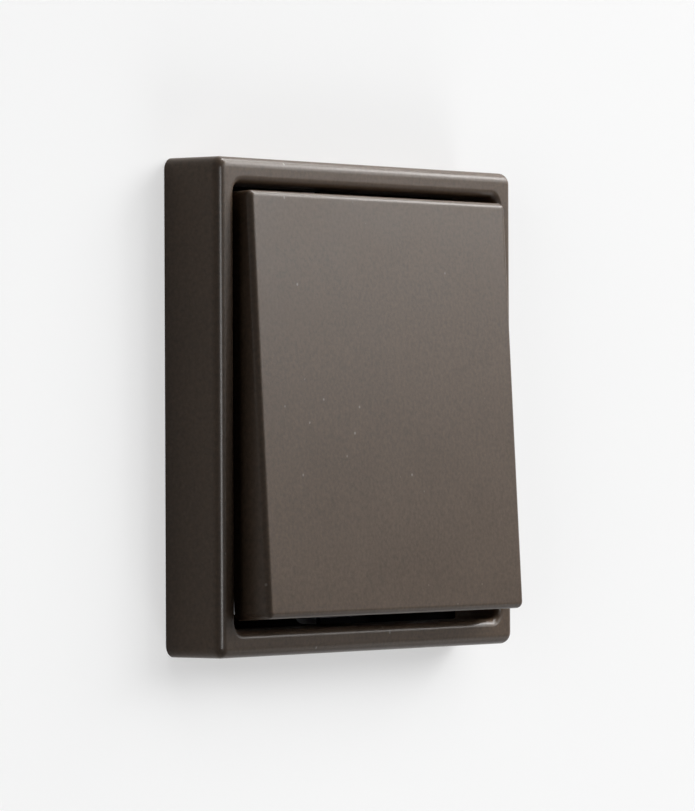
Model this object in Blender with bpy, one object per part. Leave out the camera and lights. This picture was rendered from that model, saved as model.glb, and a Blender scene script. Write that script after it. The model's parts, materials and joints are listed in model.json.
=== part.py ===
"""Rocker wall switch: a square cover frame and rocker on a flush-mounted insert.

All sizes are in metres. X runs to the right, Y into the wall and Z up. The wall's
surface is the plane Y = 0, so the cover stands at negative Y and the insert at positive Y.
The origin is the centre of the cover on the wall's surface.
"""

import math

import bmesh
import bpy
from mathutils import Matrix, Vector

for old in list(bpy.data.objects):
    bpy.data.objects.remove(old, do_unlink=True)

# Clearances
SEAT_GAP = 0.0003           # between pieces that rest on or in each other
RUN_GAP = 0.0004            # between pieces that move past each other

# Cover frame, a moulding with a U-shaped section that opens to the wall
FRAME_SIDE = 0.0810
FRAME_DEPTH = 0.0114
FRAME_BAND = 0.00425        # width of the band round the opening
FRAME_EDGE = 0.00165        # rounding of the outer front edge
FRAME_FACE_CORNER = 0.00035 # corner radius that is left on the flat front
OPENING_CORNER = 0.0017
OPENING_EDGE = 0.00125
FRAME_WALL = 0.0016         # outer wall
FRAME_GROOVE_CORNER = 0.0003
FRAME_INNER_WALL = 0.0012
FRAME_FRONT_WALL = 0.0020
FRAME_RIB = 0.0010          # ribs across the groove between the two walls
FRAME_RIB_PITCH = 0.0190
FRAME_RIB_HEIGHT = 0.0060
NIB_WIDTH = 0.0070          # nibs that snap into the ring's tabs
NIB_REACH = 0.0007
NIB_HEIGHT = 0.0015
NIB_SEAT = 0.0029           # from the wall's surface to the nib

# Rocker, a shell that clips onto the toggle
ROCKER_GAP = 0.00095        # between the rocker and the frame
ROCKER_SHORT = 0.0012       # it is this much less high than wide, to leave room for the swing
ROCKER_FACE = 0.00955       # from the pivot axis to the front face
ROCKER_SKIRT = 0.0072
ROCKER_WALL = 0.0018
ROCKER_FRONT_WALL = 0.0022
ROCKER_EDGE = 0.0010        # rounding of the front edge
ROCKER_FACE_CORNER = 0.0002 # corner radius that is left on the flat face
ROCKER_INNER_CORNER = 0.0003
ROCKER_RIB = 0.0012
ROCKER_RIB_SPREAD = 0.0360  # between the two upright ribs
HOOK_WIDTH = 0.0050
HOOK_WALL = 0.0014
HOOK_REACH = 0.0009         # how far a hook grips behind the toggle
HOOK_NOSE = 0.0012
HOOK_SPREAD = 0.0150        # between the middles of two hooks side by side

# Swing
PIVOT_OUT = 0.0060          # the pivot axis lies this far in front of the wall
REST_TILT = math.radians(3.1)
BRIDGE_RATIO = 2.0          # the contact bridge tips this many times as far as the rocker

# Toggle, with the trunnions and the hollow stem of the plunger
TOGGLE_HEIGHT = 0.0120
TOGGLE_WALL = 0.0030
TOGGLE_FRONT = 0.0056       # from the pivot axis to the front of its plate
TOGGLE_ARM = 0.0030
TOGGLE_ARM_HEIGHT = 0.0056
TRUNNION_RADIUS = 0.0020
STEM_RADIUS = 0.0042
STEM_END = 0.0080           # from the pivot axis to the stem's mouth
SPRING_SEAT = 0.0016        # from the pivot axis forward to the bottom of the bore

# Plunger and its spring
PLUNGER_RADIUS = 0.0023
PLUNGER_BODY = 0.0058
PLUNGER_NECK = 0.0010       # between the body's cone and the domed nose
PLUNGER_NOSE_RADIUS = 0.0015
PLUNGER_PEG_RADIUS = 0.0009
PLUNGER_PEG = 0.0016
SPRING_LENGTH = 0.0054
SPRING_RADIUS = 0.0017      # to the middle of the wire
SPRING_WIRE = 0.0005
SPRING_TURNS = 4.5

# Support ring, stamped from sheet steel
RING_SHEET = 0.0010
RING_BORDER = 0.0020        # from the ring's straight edge to the outside of its tabs
RING_CORNER = 0.0060
RING_PLAY = 0.0012          # round the bearings that stand through it
RING_WINDOW_HEIGHT = 0.0150
TAB_WIDTH = 0.0130
TAB_TOP = 0.0056            # from the wall's surface to the tab's end
TAB_BEND = 0.0007
FIXING_PITCH = 0.0600
SLOT_WIDTH = 0.0044
SLOT_LENGTH = 0.0090

# Rivets through ring, bearing cover and base
RIVET_RADIUS = 0.0011
RIVET_HEAD_RADIUS = 0.0021
RIVET_HEAD = 0.0009
RIVET_LENGTH = 0.0085
RIVET_INSET = 0.0027        # from the base's side to a rivet's axis

# Bearing cover
LID_WALL = 0.0017
LID_INSET = 0.0004          # its edge lies this far inside the base's
BEARING_WALL = 0.0030
BEARING_INSET = 0.0020      # from the base's side to a bearing
BEARING_RIM = 0.0016        # material round the bearing's bore
BEARING_FOOT = 0.0094
BEARING_SNAP = 0.0005       # the mouth is this much narrower than the trunnion

# Base
BASE_WIDTH = 0.0380
BASE_HEIGHT = 0.0460
BASE_DEPTH = 0.0257
BASE_CHAMFER = 0.0050
BASE_WALL = 0.0023
BASE_FLOOR = 0.0020
BASE_RIB = 0.0017
REAR_WALL = 0.0022
SNAP_WIDTH = 0.0100
SNAP_WALL = 0.0014
SNAP_LENGTH = 0.0080
SNAP_REACH = 0.0008
SNAP_NOSE = 0.0016

# Contacts
SHEET = 0.0008              # brass sheet
BEND = 0.0010
BRIDGE_WIDTH = 0.0060
BRIDGE_SHEET = 0.0010
BRIDGE_END_GAP = 0.0013     # from the bridge's ends to the chamber's walls
EAR_SHEET = 0.0006
EAR_WIDTH = 0.0040
EAR_LENGTH = 0.0024
TIP_INSET = 0.0020          # from the bridge's ends to the middle of its contact tips
TIP_RADIUS = 0.0018
TIP_HEAD = 0.0009
TIP_DOME = 0.0003
TIP_SHANK = 0.0008          # radius of the shank
KNIFE_EDGE = 0.0005
KNIFE_SHEET = 0.0016
KNIFE_TAPER = 0.0012
ARM_WIDTH = 0.0040          # strips that lead from the contacts to the terminals
STRIP_WIDTH = 0.0060
LEG_END_GAP = 0.0015        # from the terminal legs to the rear cover

# Push-in terminals, one in each corner of the base
CELL_SIDE = 0.0049          # from the base's side to a cell, with room for the rivets
CELL_WIDTH = 0.0070
CELL_HEIGHT = 0.0078
CLAMP_SHEET = 0.0005
CLAMP_WIDTH = 0.0054
CLAMP_LOOP = 0.00175        # radius of the bend, to the middle of the sheet
CLAMP_LEG = 0.0065
CLAMP_REACH = 0.0055
CLAMP_BACK_GAP = 0.0020     # from the bend to the rear cover
WIRE_RADIUS = 0.0013
WIRE_FUNNEL = 0.0006
WIRE_OFFSET = 0.0014        # the wire lies to one side of the cell's middle
LEVER_OFFSET = 0.0019       # the release lever lies to the other side
LEVER_WIDTH = 0.0022
LEVER_LENGTH = 0.0040
LEVER_SHOULDER = 0.0003
LEVER_STROKE = 0.0015
LEVER_SUNK = 0.0004         # how far below the rear cover's face it is pressed

# Spreading claws
CLAW_OFFSET = 0.0042        # from the base's side to the screw's axis
CLAW_SHEET = 0.0010
CLAW_WIDTH = 0.0104
CLAW_LENGTH = 0.0148
CLAW_DEPTH = 0.0188         # from the wall's surface to the claw's flange
CLAW_SIDE_GAP = 0.0006
CLAW_TOOTH = 0.0022
CLAW_BEND = 0.0006
CLAW_WEB = 0.0016           # what joins the two prongs
SCREW_RADIUS = 0.0015
SCREW_HEAD_RADIUS = 0.0029
SCREW_HEAD = 0.0019
SCREW_LENGTH = 0.0255
SCREW_SLOT = 0.0008
NUT_SIDE = 0.0054
NUT_THICK = 0.0024
RAMP_SLOPE = math.radians(49)   # of the noses that spread the claws, from the screw's axis
RAMP_TIP = 0.0003
RAMP_WIDTH = 0.0024

# Facets
ROUND = 24                  # sides of a turned piece
ARC = 6                     # steps of a quarter round

# What follows from the sizes above
OPENING = FRAME_SIDE - 2 * FRAME_BAND
ROCKER_WIDTH = OPENING - 2 * ROCKER_GAP
ROCKER_HEIGHT = ROCKER_WIDTH - ROCKER_SHORT
BRIDGE_TILT = REST_TILT * BRIDGE_RATIO
RING_SPREAD = OPENING / 2 - SEAT_GAP
BEARING_SPREAD = BASE_WIDTH - 2 * (BEARING_INSET + BEARING_WALL)
RIVET_SPREAD_X = BASE_WIDTH - 2 * RIVET_INSET
RIVET_SPREAD_Z = BASE_HEIGHT / 2
ARM_OUTSIDE = BEARING_SPREAD / 2 - RUN_GAP
FRAME_CORNER = FRAME_FACE_CORNER + FRAME_EDGE
ROCKER_CORNER = ROCKER_FACE_CORNER + ROCKER_EDGE
BEARING_BORE = TRUNNION_RADIUS + SEAT_GAP
LID_FRONT = SEAT_GAP
LID_BACK = LID_FRONT + LID_WALL
BASE_FRONT = LID_BACK + SEAT_GAP
BASE_BACK = BASE_FRONT + BASE_DEPTH
REAR_FRONT = BASE_BACK + SEAT_GAP
REAR_BACK = REAR_FRONT + REAR_WALL
STEM_SWAY = STEM_END * math.sin(REST_TILT)
CELL_TOP = BASE_HEIGHT / 2 - BASE_WALL
CELL_LOW = CELL_TOP - CELL_HEIGHT
CELL_OUT = BASE_WIDTH / 2 - CELL_SIDE
CELL_IN = CELL_OUT - CELL_WIDTH
CELL_SPREAD = CELL_IN + CELL_OUT
PLUNGER_BACK = SPRING_LENGTH + 2 * SEAT_GAP - SPRING_SEAT
PLUNGER_SHOULDER = PLUNGER_BACK + PLUNGER_BODY
PLUNGER_CONE_END = PLUNGER_SHOULDER + PLUNGER_RADIUS - PLUNGER_NOSE_RADIUS
PLUNGER_DOME = PLUNGER_CONE_END + PLUNGER_NECK
PLUNGER_TIP = PLUNGER_DOME + PLUNGER_NOSE_RADIUS
BRIDGE_LENGTH = 2 * (CELL_LOW - BRIDGE_END_GAP)
CONTACT_ARM = BRIDGE_LENGTH / 2 - TIP_INSET
BRIDGE_PIVOT = PLUNGER_TIP - PIVOT_OUT + SEAT_GAP + BRIDGE_SHEET
KNIFE_TOP = BRIDGE_PIVOT + SEAT_GAP
TIP_FACE = SEAT_GAP + TIP_HEAD
CLOSED_REACH = TIP_FACE * math.cos(BRIDGE_TILT) + CONTACT_ARM * math.sin(BRIDGE_TILT)
FIXED_TIP_FRONT = BRIDGE_PIVOT + CLOSED_REACH + SEAT_GAP
FIXED_TIP_Z = CONTACT_ARM * math.cos(BRIDGE_TILT) - TIP_FACE * math.sin(BRIDGE_TILT)
STRIP_FRONT = FIXED_TIP_FRONT + TIP_HEAD + SEAT_GAP
STRIP_MIDDLE = STRIP_FRONT + SHEET / 2
FLOOR = STRIP_FRONT + SHEET + SEAT_GAP
CORE_FRONT = FLOOR + BASE_FLOOR
CHAMBER = BRIDGE_WIDTH / 2 + EAR_SHEET + RUN_GAP + SEAT_GAP
LEG_Z = CELL_TOP - SEAT_GAP - SHEET / 2
LEG_INSIDE = LEG_Z - SHEET / 2
LEG_END = REAR_FRONT - LEG_END_GAP
CLAMP_Z = CELL_LOW + SEAT_GAP + CLAMP_SHEET / 2
CLAMP_TOP = CLAMP_Z + 2 * CLAMP_LOOP
CLAMP_BEND_Y = REAR_FRONT - CLAMP_BACK_GAP - CLAMP_LOOP - CLAMP_SHEET / 2
LEVER_LOW = CLAMP_TOP + CLAMP_SHEET / 2 + SEAT_GAP
LEVER_TOP = LEG_INSIDE - SEAT_GAP
LEVER_BACK = REAR_FRONT - RUN_GAP
LEVER_OUT = LEVER_STROKE - LEVER_SUNK
CLAW_X = BASE_WIDTH / 2 + CLAW_OFFSET
CLAW_SLOT = 2 * (SCREW_RADIUS + RUN_GAP + SEAT_GAP)
RING_FRONT = -RING_SHEET


def finish(name, colour, roughness, metallic=0.0):
    """A plain finish: base colour, roughness and metal."""
    material = bpy.data.materials.new(name)
    material.use_nodes = True
    shader = material.node_tree.nodes["Principled BSDF"]
    shader.inputs["Base Color"].default_value = (*colour, 1.0)
    shader.inputs["Roughness"].default_value = roughness
    shader.inputs["Metallic"].default_value = metallic
    material.diffuse_color = (*colour, 1.0)
    return material


LACQUER = finish("brown_lacquer", (0.090, 0.060, 0.040), 0.30)
HOUSING = finish("grey_thermoset", (0.42, 0.42, 0.41), 0.55)
NYLON = finish("white_nylon", (0.78, 0.76, 0.71), 0.5)
LEVER_RED = finish("orange_polyamide", (0.72, 0.23, 0.06), 0.5)
ZINC = finish("zinc_plated_steel", (0.62, 0.63, 0.64), 0.35, 1.0)
BRASS = finish("brass", (0.71, 0.54, 0.25), 0.3, 1.0)
SILVER = finish("contact_silver", (0.83, 0.82, 0.79), 0.25, 1.0)
SPRING_STEEL = finish("spring_steel", (0.46, 0.47, 0.49), 0.3, 1.0)


def as_mesh(bm):
    """Turn a finished bmesh into a mesh with its faces pointing out."""
    bmesh.ops.recalc_face_normals(bm, faces=bm.faces)
    mesh = bpy.data.meshes.new("shape")
    bm.to_mesh(mesh)
    bm.free()
    return mesh


def loft(loops, closed=False):
    """Skin loops of points one after the other; an open loft is capped at both ends."""
    bm = bmesh.new()
    rings = [[bm.verts.new(point) for point in loop] for loop in loops]
    if not closed:
        bm.faces.new(rings[0])
        bm.faces.new(rings[-1])
    followers = rings[1:] + rings[:1] if closed else rings[1:]
    for ring, follower in zip(rings, followers):
        for i, vertex in enumerate(ring):
            before = i - 1
            bm.faces.new((ring[before], vertex, follower[i], follower[before]))
    return as_mesh(bm)


def prism(outline, direction):
    """Extrude a flat outline along a direction."""
    bm = bmesh.new()
    face = bm.faces.new([bm.verts.new(point) for point in outline])
    moved = bmesh.ops.extrude_face_region(bm, geom=[face], use_keep_orig=True)["geom"]
    far = [item for item in moved if isinstance(item, bmesh.types.BMVert)]
    bmesh.ops.translate(bm, verts=far, vec=direction)
    return as_mesh(bm)


def block(low, high):
    """A box between two opposite corners, given in any order."""
    (x1, y1, z1), (x2, y2, z2) = low, high
    return loft([[(x1, y, z1), (x2, y, z1), (x2, y, z2), (x1, y, z2)] for y in (y1, y2)])


def rounded_loop(width, height, radius, y, steps=ARC):
    """An upright rectangle with rounded corners at depth y; one step gives chamfers."""
    points = []
    for quarter in range(4):
        corner_x = (width / 2 - radius) * (1 if quarter in (0, 3) else -1)
        corner_z = (height / 2 - radius) * (1 if quarter in (0, 1) else -1)
        for step in range(steps + 1):
            angle = math.pi / 2 * (quarter + step / steps)
            x = corner_x + radius * math.cos(angle)
            z = corner_z + radius * math.sin(angle)
            points.append(Vector((x, y, z)))
    return points


def plate(width, height, radius, front, back, steps=ARC):
    """A flat plate with rounded or chamfered corners."""
    return loft([rounded_loop(width, height, radius, y, steps) for y in (front, back)])


def turned(profile, centre=(0, 0, 0), axis="Y", sides=ROUND):
    """Revolve (radius, distance) points round an axis through the centre."""
    turn = {"X": Matrix.Rotation(-math.pi / 2, 4, "Z"), "Y": Matrix.Identity(4)}[axis]
    place = Matrix.Translation(centre) @ turn
    loops = []
    for radius, distance in profile:
        loop = []
        for i in range(sides):
            angle = 2 * math.pi * i / sides
            point = Vector((radius * math.cos(angle), distance, radius * math.sin(angle)))
            loop.append(place @ point)
        loops.append(loop)
    return loft(loops)


def rod(radius, start, end, centre=(0, 0, 0), axis="Y", sides=ROUND):
    """A plain round rod or bore."""
    return turned([(radius, start), (radius, end)], centre, axis, sides)


def arc(centre, radius, start, end, steps=ARC):
    """Points of an arc, in degrees, in a plane of two coordinates."""
    points = []
    for step in range(steps + 1):
        angle = math.radians(start + (end - start) * step / steps)
        points.append((centre[0] + radius * math.cos(angle), centre[1] + radius * math.sin(angle)))
    return points


def bent(corners, radius, steps=4):
    """Round the inner corners of a path of two-coordinate points, as a sheet bends."""
    path = [Vector(corners[0])]
    for before, corner, after in zip(corners, corners[1:], corners[2:]):
        corner = Vector(corner)
        back = (Vector(before) - corner).normalized()
        on = (Vector(after) - corner).normalized()
        half = back.angle(on) / 2
        run = radius / math.tan(half)
        centre = corner + (back + on).normalized() * (radius / math.sin(half))
        first = (corner + back * run - centre).normalized()
        last = (corner + on * run - centre).normalized()
        for step in range(steps + 1):
            path.append(centre + first.slerp(last, step / steps) * radius)
    path.append(Vector(corners[-1]))
    return path


def sheet_outline(path, thickness):
    """The closed outline of a sheet whose middle follows a path."""
    left, right = [], []
    for i, point in enumerate(path):
        point = Vector(point)
        back = (point - Vector(path[i - 1])).normalized() if i else None
        on = (Vector(path[i + 1]) - point).normalized() if i + 1 < len(path) else None
        back = back or on
        on = on or back
        along = (back + on).normalized()
        across = Vector((-along.y, along.x)) * (thickness / 2 / along.dot(on))
        left.append(point + across)
        right.append(point - across)
    return left + right[::-1]


def sheet_x(path, thickness, low, high):
    """A bent sheet: a path of (y, z) points, spread along X from low to high."""
    outline = [(low, y, z) for y, z in sheet_outline(path, thickness)]
    return prism(outline, (high - low, 0, 0))


def profile_x(outline, low, high):
    """A solid with an outline of (y, z) points, spread along X from low to high."""
    return prism([(low, y, z) for y, z in outline], (high - low, 0, 0))


def profile_z(outline, low, high):
    """A solid with an outline of (x, y) points, spread along Z from low to high."""
    return prism([(x, y, low) for x, y in outline], (0, 0, high - low))


def turned_about_y(mesh, quarter):
    """Turn a mesh by quarter turns round the middle of the cover."""
    mesh.transform(Matrix.Rotation(math.pi / 2 * quarter, 4, "Y"))
    return mesh


def pivot(name, location, tilt=0.0):
    """An empty on a joint's axis, which carries the pieces that move about it."""
    empty = bpy.data.objects.new(name, None)
    empty.location = location
    empty.rotation_euler = (tilt, 0.0, 0.0)
    bpy.context.scene.collection.objects.link(empty)
    return empty


def combine(body, mesh, operation):
    """Join a mesh to a body or cut it out, and keep the result as the body's mesh."""
    tool = bpy.data.objects.new("tool", mesh)
    bpy.context.scene.collection.objects.link(tool)
    change = body.modifiers.new("change", "BOOLEAN")
    change.operation = operation
    change.solver = "EXACT"
    change.object = tool
    bpy.context.view_layer.update()
    result = body.evaluated_get(bpy.context.evaluated_depsgraph_get())
    body.data = bpy.data.meshes.new_from_object(result)
    body.modifiers.clear()
    bpy.data.objects.remove(tool, do_unlink=True)


def piece(name, material, body, joined=(), cut=(), parent=None, location=(0, 0, 0)):
    """Make one named piece from a body, what is joined to it and what is cut out."""
    made = bpy.data.objects.new(name, body)
    bpy.context.scene.collection.objects.link(made)
    for mesh in joined:
        combine(made, mesh, "UNION")
    for mesh in cut:
        combine(made, mesh, "DIFFERENCE")
    made.data.name = name
    made.data.materials.clear()
    made.data.materials.append(material)
    made.data.shade_smooth()
    made.data.set_sharp_from_angle(angle=math.radians(30))
    made.parent = parent
    made.location = location
    return made


def sides():
    """Left and right, or lower and upper."""
    return (-1, 1)


def cover_frame():
    """A ring of one section, lofted round the opening, with ribs and snap nibs."""
    front = -FRAME_DEPTH
    groove_floor = front + FRAME_FRONT_WALL
    skirt_end = -(NIB_SEAT - SEAT_GAP)
    groove_in = FRAME_BAND - FRAME_INNER_WALL

    def around(inset, corner, y):
        return rounded_loop(FRAME_SIDE - 2 * inset, FRAME_SIDE - 2 * inset, corner, y)

    def inner(inset, y):
        return around(inset, OPENING_CORNER + FRAME_BAND - inset, y)

    loops = [around(0, FRAME_CORNER, 0)]
    for x, y in arc((FRAME_EDGE, front + FRAME_EDGE), FRAME_EDGE, 180, 270):
        loops.append(around(x, FRAME_CORNER - x, y))
    for x, y in arc((FRAME_BAND - OPENING_EDGE, front + OPENING_EDGE), OPENING_EDGE, 270, 360):
        loops.append(inner(x, y))
    loops += [inner(FRAME_BAND, skirt_end), inner(groove_in, skirt_end)]
    loops.append(inner(groove_in, groove_floor))
    loops.append(around(FRAME_WALL, FRAME_GROOVE_CORNER, groove_floor))
    loops.append(around(FRAME_WALL, FRAME_GROOVE_CORNER, 0))

    bite = FRAME_INNER_WALL / 2
    rib_low = FRAME_SIDE / 2 - groove_in - bite
    rib_high = FRAME_SIDE / 2 - FRAME_WALL + bite
    face = OPENING / 2
    joined = []
    for quarter in range(4):
        for place in (-1, 0, 1):
            middle = place * FRAME_RIB_PITCH
            low = (middle - FRAME_RIB / 2, groove_floor - bite, rib_low)
            high = (middle + FRAME_RIB / 2, groove_floor + FRAME_RIB_HEIGHT, rib_high)
            joined.append(turned_about_y(block(low, high), quarter))
        slope = NIB_HEIGHT / 4
        nib = [(-NIB_SEAT, face + bite), (-NIB_SEAT, face), (-NIB_SEAT - slope, face - NIB_REACH),
               (-NIB_SEAT - NIB_HEIGHT + slope, face - NIB_REACH),
               (-NIB_SEAT - NIB_HEIGHT, face), (-NIB_SEAT - NIB_HEIGHT, face + bite)]
        joined.append(turned_about_y(profile_x(nib, -NIB_WIDTH / 2, NIB_WIDTH / 2), quarter))
    return piece("cover_frame", LACQUER, loft(loops, closed=True), joined)


def rocker(parent):
    """A shell with a rounded front edge, ribs behind it and four hooks round the toggle."""
    front = -ROCKER_FACE
    inside = front + ROCKER_FRONT_WALL
    skirt_end = front + ROCKER_SKIRT

    def around(inset, corner, y):
        return rounded_loop(ROCKER_WIDTH - 2 * inset, ROCKER_HEIGHT - 2 * inset, corner, y)

    loops = [around(ROCKER_WALL, ROCKER_INNER_CORNER, inside),
             around(ROCKER_WALL, ROCKER_INNER_CORNER, skirt_end),
             around(0, ROCKER_CORNER, skirt_end)]
    for x, y in arc((ROCKER_EDGE, front + ROCKER_EDGE), ROCKER_EDGE, 180, 270):
        loops.append(around(x, ROCKER_CORNER - x, y))

    bite = ROCKER_FRONT_WALL / 2
    rib_end = -(TOGGLE_FRONT + SEAT_GAP)
    half_width = ROCKER_WIDTH / 2 - ROCKER_WALL / 2
    half_height = ROCKER_HEIGHT / 2 - ROCKER_WALL / 2
    joined = [block((-half_width, inside - bite, -ROCKER_RIB / 2),
                    (half_width, rib_end, ROCKER_RIB / 2))]
    for side in sides():
        middle = side * ROCKER_RIB_SPREAD / 2
        joined.append(block((middle - ROCKER_RIB / 2, inside - bite / 2, -half_height),
                            (middle + ROCKER_RIB / 2, rib_end - SEAT_GAP, half_height)))

    grip = -TOGGLE_FRONT + TOGGLE_WALL + SEAT_GAP
    leg = TOGGLE_HEIGHT / 2 + SEAT_GAP
    catch = TOGGLE_HEIGHT / 2 - HOOK_REACH
    end = grip + HOOK_NOSE
    for up in sides():
        outline = [(inside - bite, leg), (inside - bite, leg + HOOK_WALL), (end, leg + HOOK_WALL),
                   (end, leg), (grip + HOOK_NOSE / 3, catch), (grip, catch), (grip, leg)]
        outline = [(y, up * z) for y, z in outline]
        for side in sides():
            middle = side * HOOK_SPREAD / 2
            joined.append(profile_x(outline, middle - HOOK_WIDTH / 2, middle + HOOK_WIDTH / 2))
    return piece("rocker", LACQUER, loft(loops), joined, parent=parent)


def toggle(parent):
    """A plate with two arms and trunnions on the pivot axis, and a hollow stem."""
    plate_back = -TOGGLE_FRONT + TOGGLE_WALL
    bite = TOGGLE_WALL / 2
    half = ARM_OUTSIDE - TOGGLE_ARM / 4
    body = block((-half, -TOGGLE_FRONT, -TOGGLE_HEIGHT / 2), (half, plate_back, TOGGLE_HEIGHT / 2))
    joined = [rod(STEM_RADIUS, plate_back - bite, STEM_END)]
    foot = TOGGLE_ARM_HEIGHT / 2
    arm = [(plate_back - bite, foot), (plate_back - bite, -foot)] + arc((0, 0), foot, -90, 90)
    for side in sides():
        joined.append(profile_x(arm, side * (ARM_OUTSIDE - TOGGLE_ARM), side * ARM_OUTSIDE))
        end = BEARING_SPREAD / 2 + BEARING_WALL
        joined.append(rod(TRUNNION_RADIUS, side * (ARM_OUTSIDE - bite), side * end, axis="X"))
    bore = rod(PLUNGER_RADIUS + SEAT_GAP, -SPRING_SEAT, STEM_END + STEM_RADIUS)
    return piece("toggle", NYLON, body, joined, [bore], parent)


def plunger(parent):
    """A turned pin: a peg inside the spring, a guided body and a domed nose."""
    back = PLUNGER_BACK
    profile = [(PLUNGER_PEG_RADIUS, back - PLUNGER_PEG), (PLUNGER_PEG_RADIUS, back)]
    profile += [(PLUNGER_RADIUS, back), (PLUNGER_RADIUS, PLUNGER_SHOULDER)]
    profile.append((PLUNGER_NOSE_RADIUS, PLUNGER_CONE_END))
    profile += [(r, y) for y, r in arc((PLUNGER_DOME, 0), PLUNGER_NOSE_RADIUS, 90, 10)]
    return piece("plunger", NYLON, turned(profile), parent=parent)


def plunger_spring(parent):
    """One unbroken helix of round wire between the bore's bottom and the plunger."""
    start = -SPRING_SEAT + SEAT_GAP + SPRING_WIRE / 2
    rise = SPRING_LENGTH - SPRING_WIRE
    per_turn = 10
    count = round(SPRING_TURNS * per_turn)
    points = []
    for i in range(count + 1):
        angle = 2 * math.pi * i / per_turn
        along = start + rise * i / count
        points.append(Vector((SPRING_RADIUS * math.cos(angle), along,
                              SPRING_RADIUS * math.sin(angle))))
    apart = [(points[j] - points[i]).length for i in range(count) for j in range(i + 6, count + 1)]
    print(f"plunger spring: least gap between turns {(min(apart) - SPRING_WIRE) * 1000:.2f} mm")
    curve = bpy.data.curves.new("coil", "CURVE")
    curve.dimensions = "3D"
    curve.bevel_depth = SPRING_WIRE / 2
    curve.bevel_resolution = 1
    curve.use_fill_caps = True
    spline = curve.splines.new("POLY")
    spline.points.add(count)
    for slot, point in zip(spline.points, points):
        slot.co = (*point, 1.0)
    made = bpy.data.objects.new("plunger_spring", curve)
    bpy.context.scene.collection.objects.link(made)
    curve.materials.append(SPRING_STEEL)
    made.parent = parent
    return made


def support_ring():
    """A stamped plate with bent-up tabs, fixing slots and holes for rivets and claw screws."""
    edge = RING_SPREAD - RING_BORDER
    body = plate(2 * edge, 2 * edge, RING_CORNER, RING_FRONT, 0)
    middle = RING_FRONT / 2
    stand = RING_SPREAD - RING_SHEET / 2
    path = bent([(middle, edge - RING_BORDER), (middle, stand), (-TAB_TOP, stand)],
                TAB_BEND + RING_SHEET / 2)
    joined, cut = [], []
    for quarter in range(4):
        tab = sheet_x(path, RING_SHEET, -TAB_WIDTH / 2, TAB_WIDTH / 2)
        joined.append(turned_about_y(tab, quarter))
        window = block((-NIB_WIDTH / 2 - SEAT_GAP, -NIB_SEAT + SEAT_GAP, edge + SEAT_GAP),
                       (NIB_WIDTH / 2 + SEAT_GAP, -NIB_SEAT - NIB_HEIGHT - SEAT_GAP, OPENING / 2))
        cut.append(turned_about_y(window, quarter))
        slot = plate(SLOT_LENGTH, SLOT_WIDTH, SLOT_WIDTH / 2 * 0.999, -2 * RING_SHEET, RING_SHEET)
        slot.transform(Matrix.Translation((0, 0, FIXING_PITCH / 2)))
        cut.append(turned_about_y(slot, quarter))
    bearings = BEARING_SPREAD + 2 * BEARING_WALL + 2 * RING_PLAY
    cut.append(plate(bearings, RING_WINDOW_HEIGHT, RING_PLAY, -2 * RING_SHEET, RING_SHEET))
    for x, z in rivet_places():
        cut.append(rod(RIVET_RADIUS + SEAT_GAP, -2 * RING_SHEET, RING_SHEET, (x, 0, z)))
    for side in sides():
        cut.append(rod(SCREW_RADIUS + RUN_GAP, -2 * RING_SHEET, RING_SHEET, (side * CLAW_X, 0, 0)))
    return piece("support_ring", ZINC, body, joined, cut)


def rivet_places():
    """The four rivets stand in a rectangle."""
    return [(x * RIVET_SPREAD_X / 2, z * RIVET_SPREAD_Z / 2) for z in sides() for x in sides()]


def ring_rivets():
    """Domed rivets whose heads lie on the ring."""
    seat = RING_FRONT - SEAT_GAP
    profile = [(RIVET_HEAD_RADIUS / 4, seat - RIVET_HEAD),
               (RIVET_HEAD_RADIUS * 0.75, seat - RIVET_HEAD * 0.75),
               (RIVET_HEAD_RADIUS, seat - RIVET_HEAD / 4), (RIVET_HEAD_RADIUS, seat),
               (RIVET_RADIUS, seat), (RIVET_RADIUS, seat + RIVET_LENGTH)]
    for number, (x, z) in enumerate(rivet_places(), 1):
        piece(f"ring_rivet_{number}", ZINC, turned(profile, sides=16), location=(x, 0, z))


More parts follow.
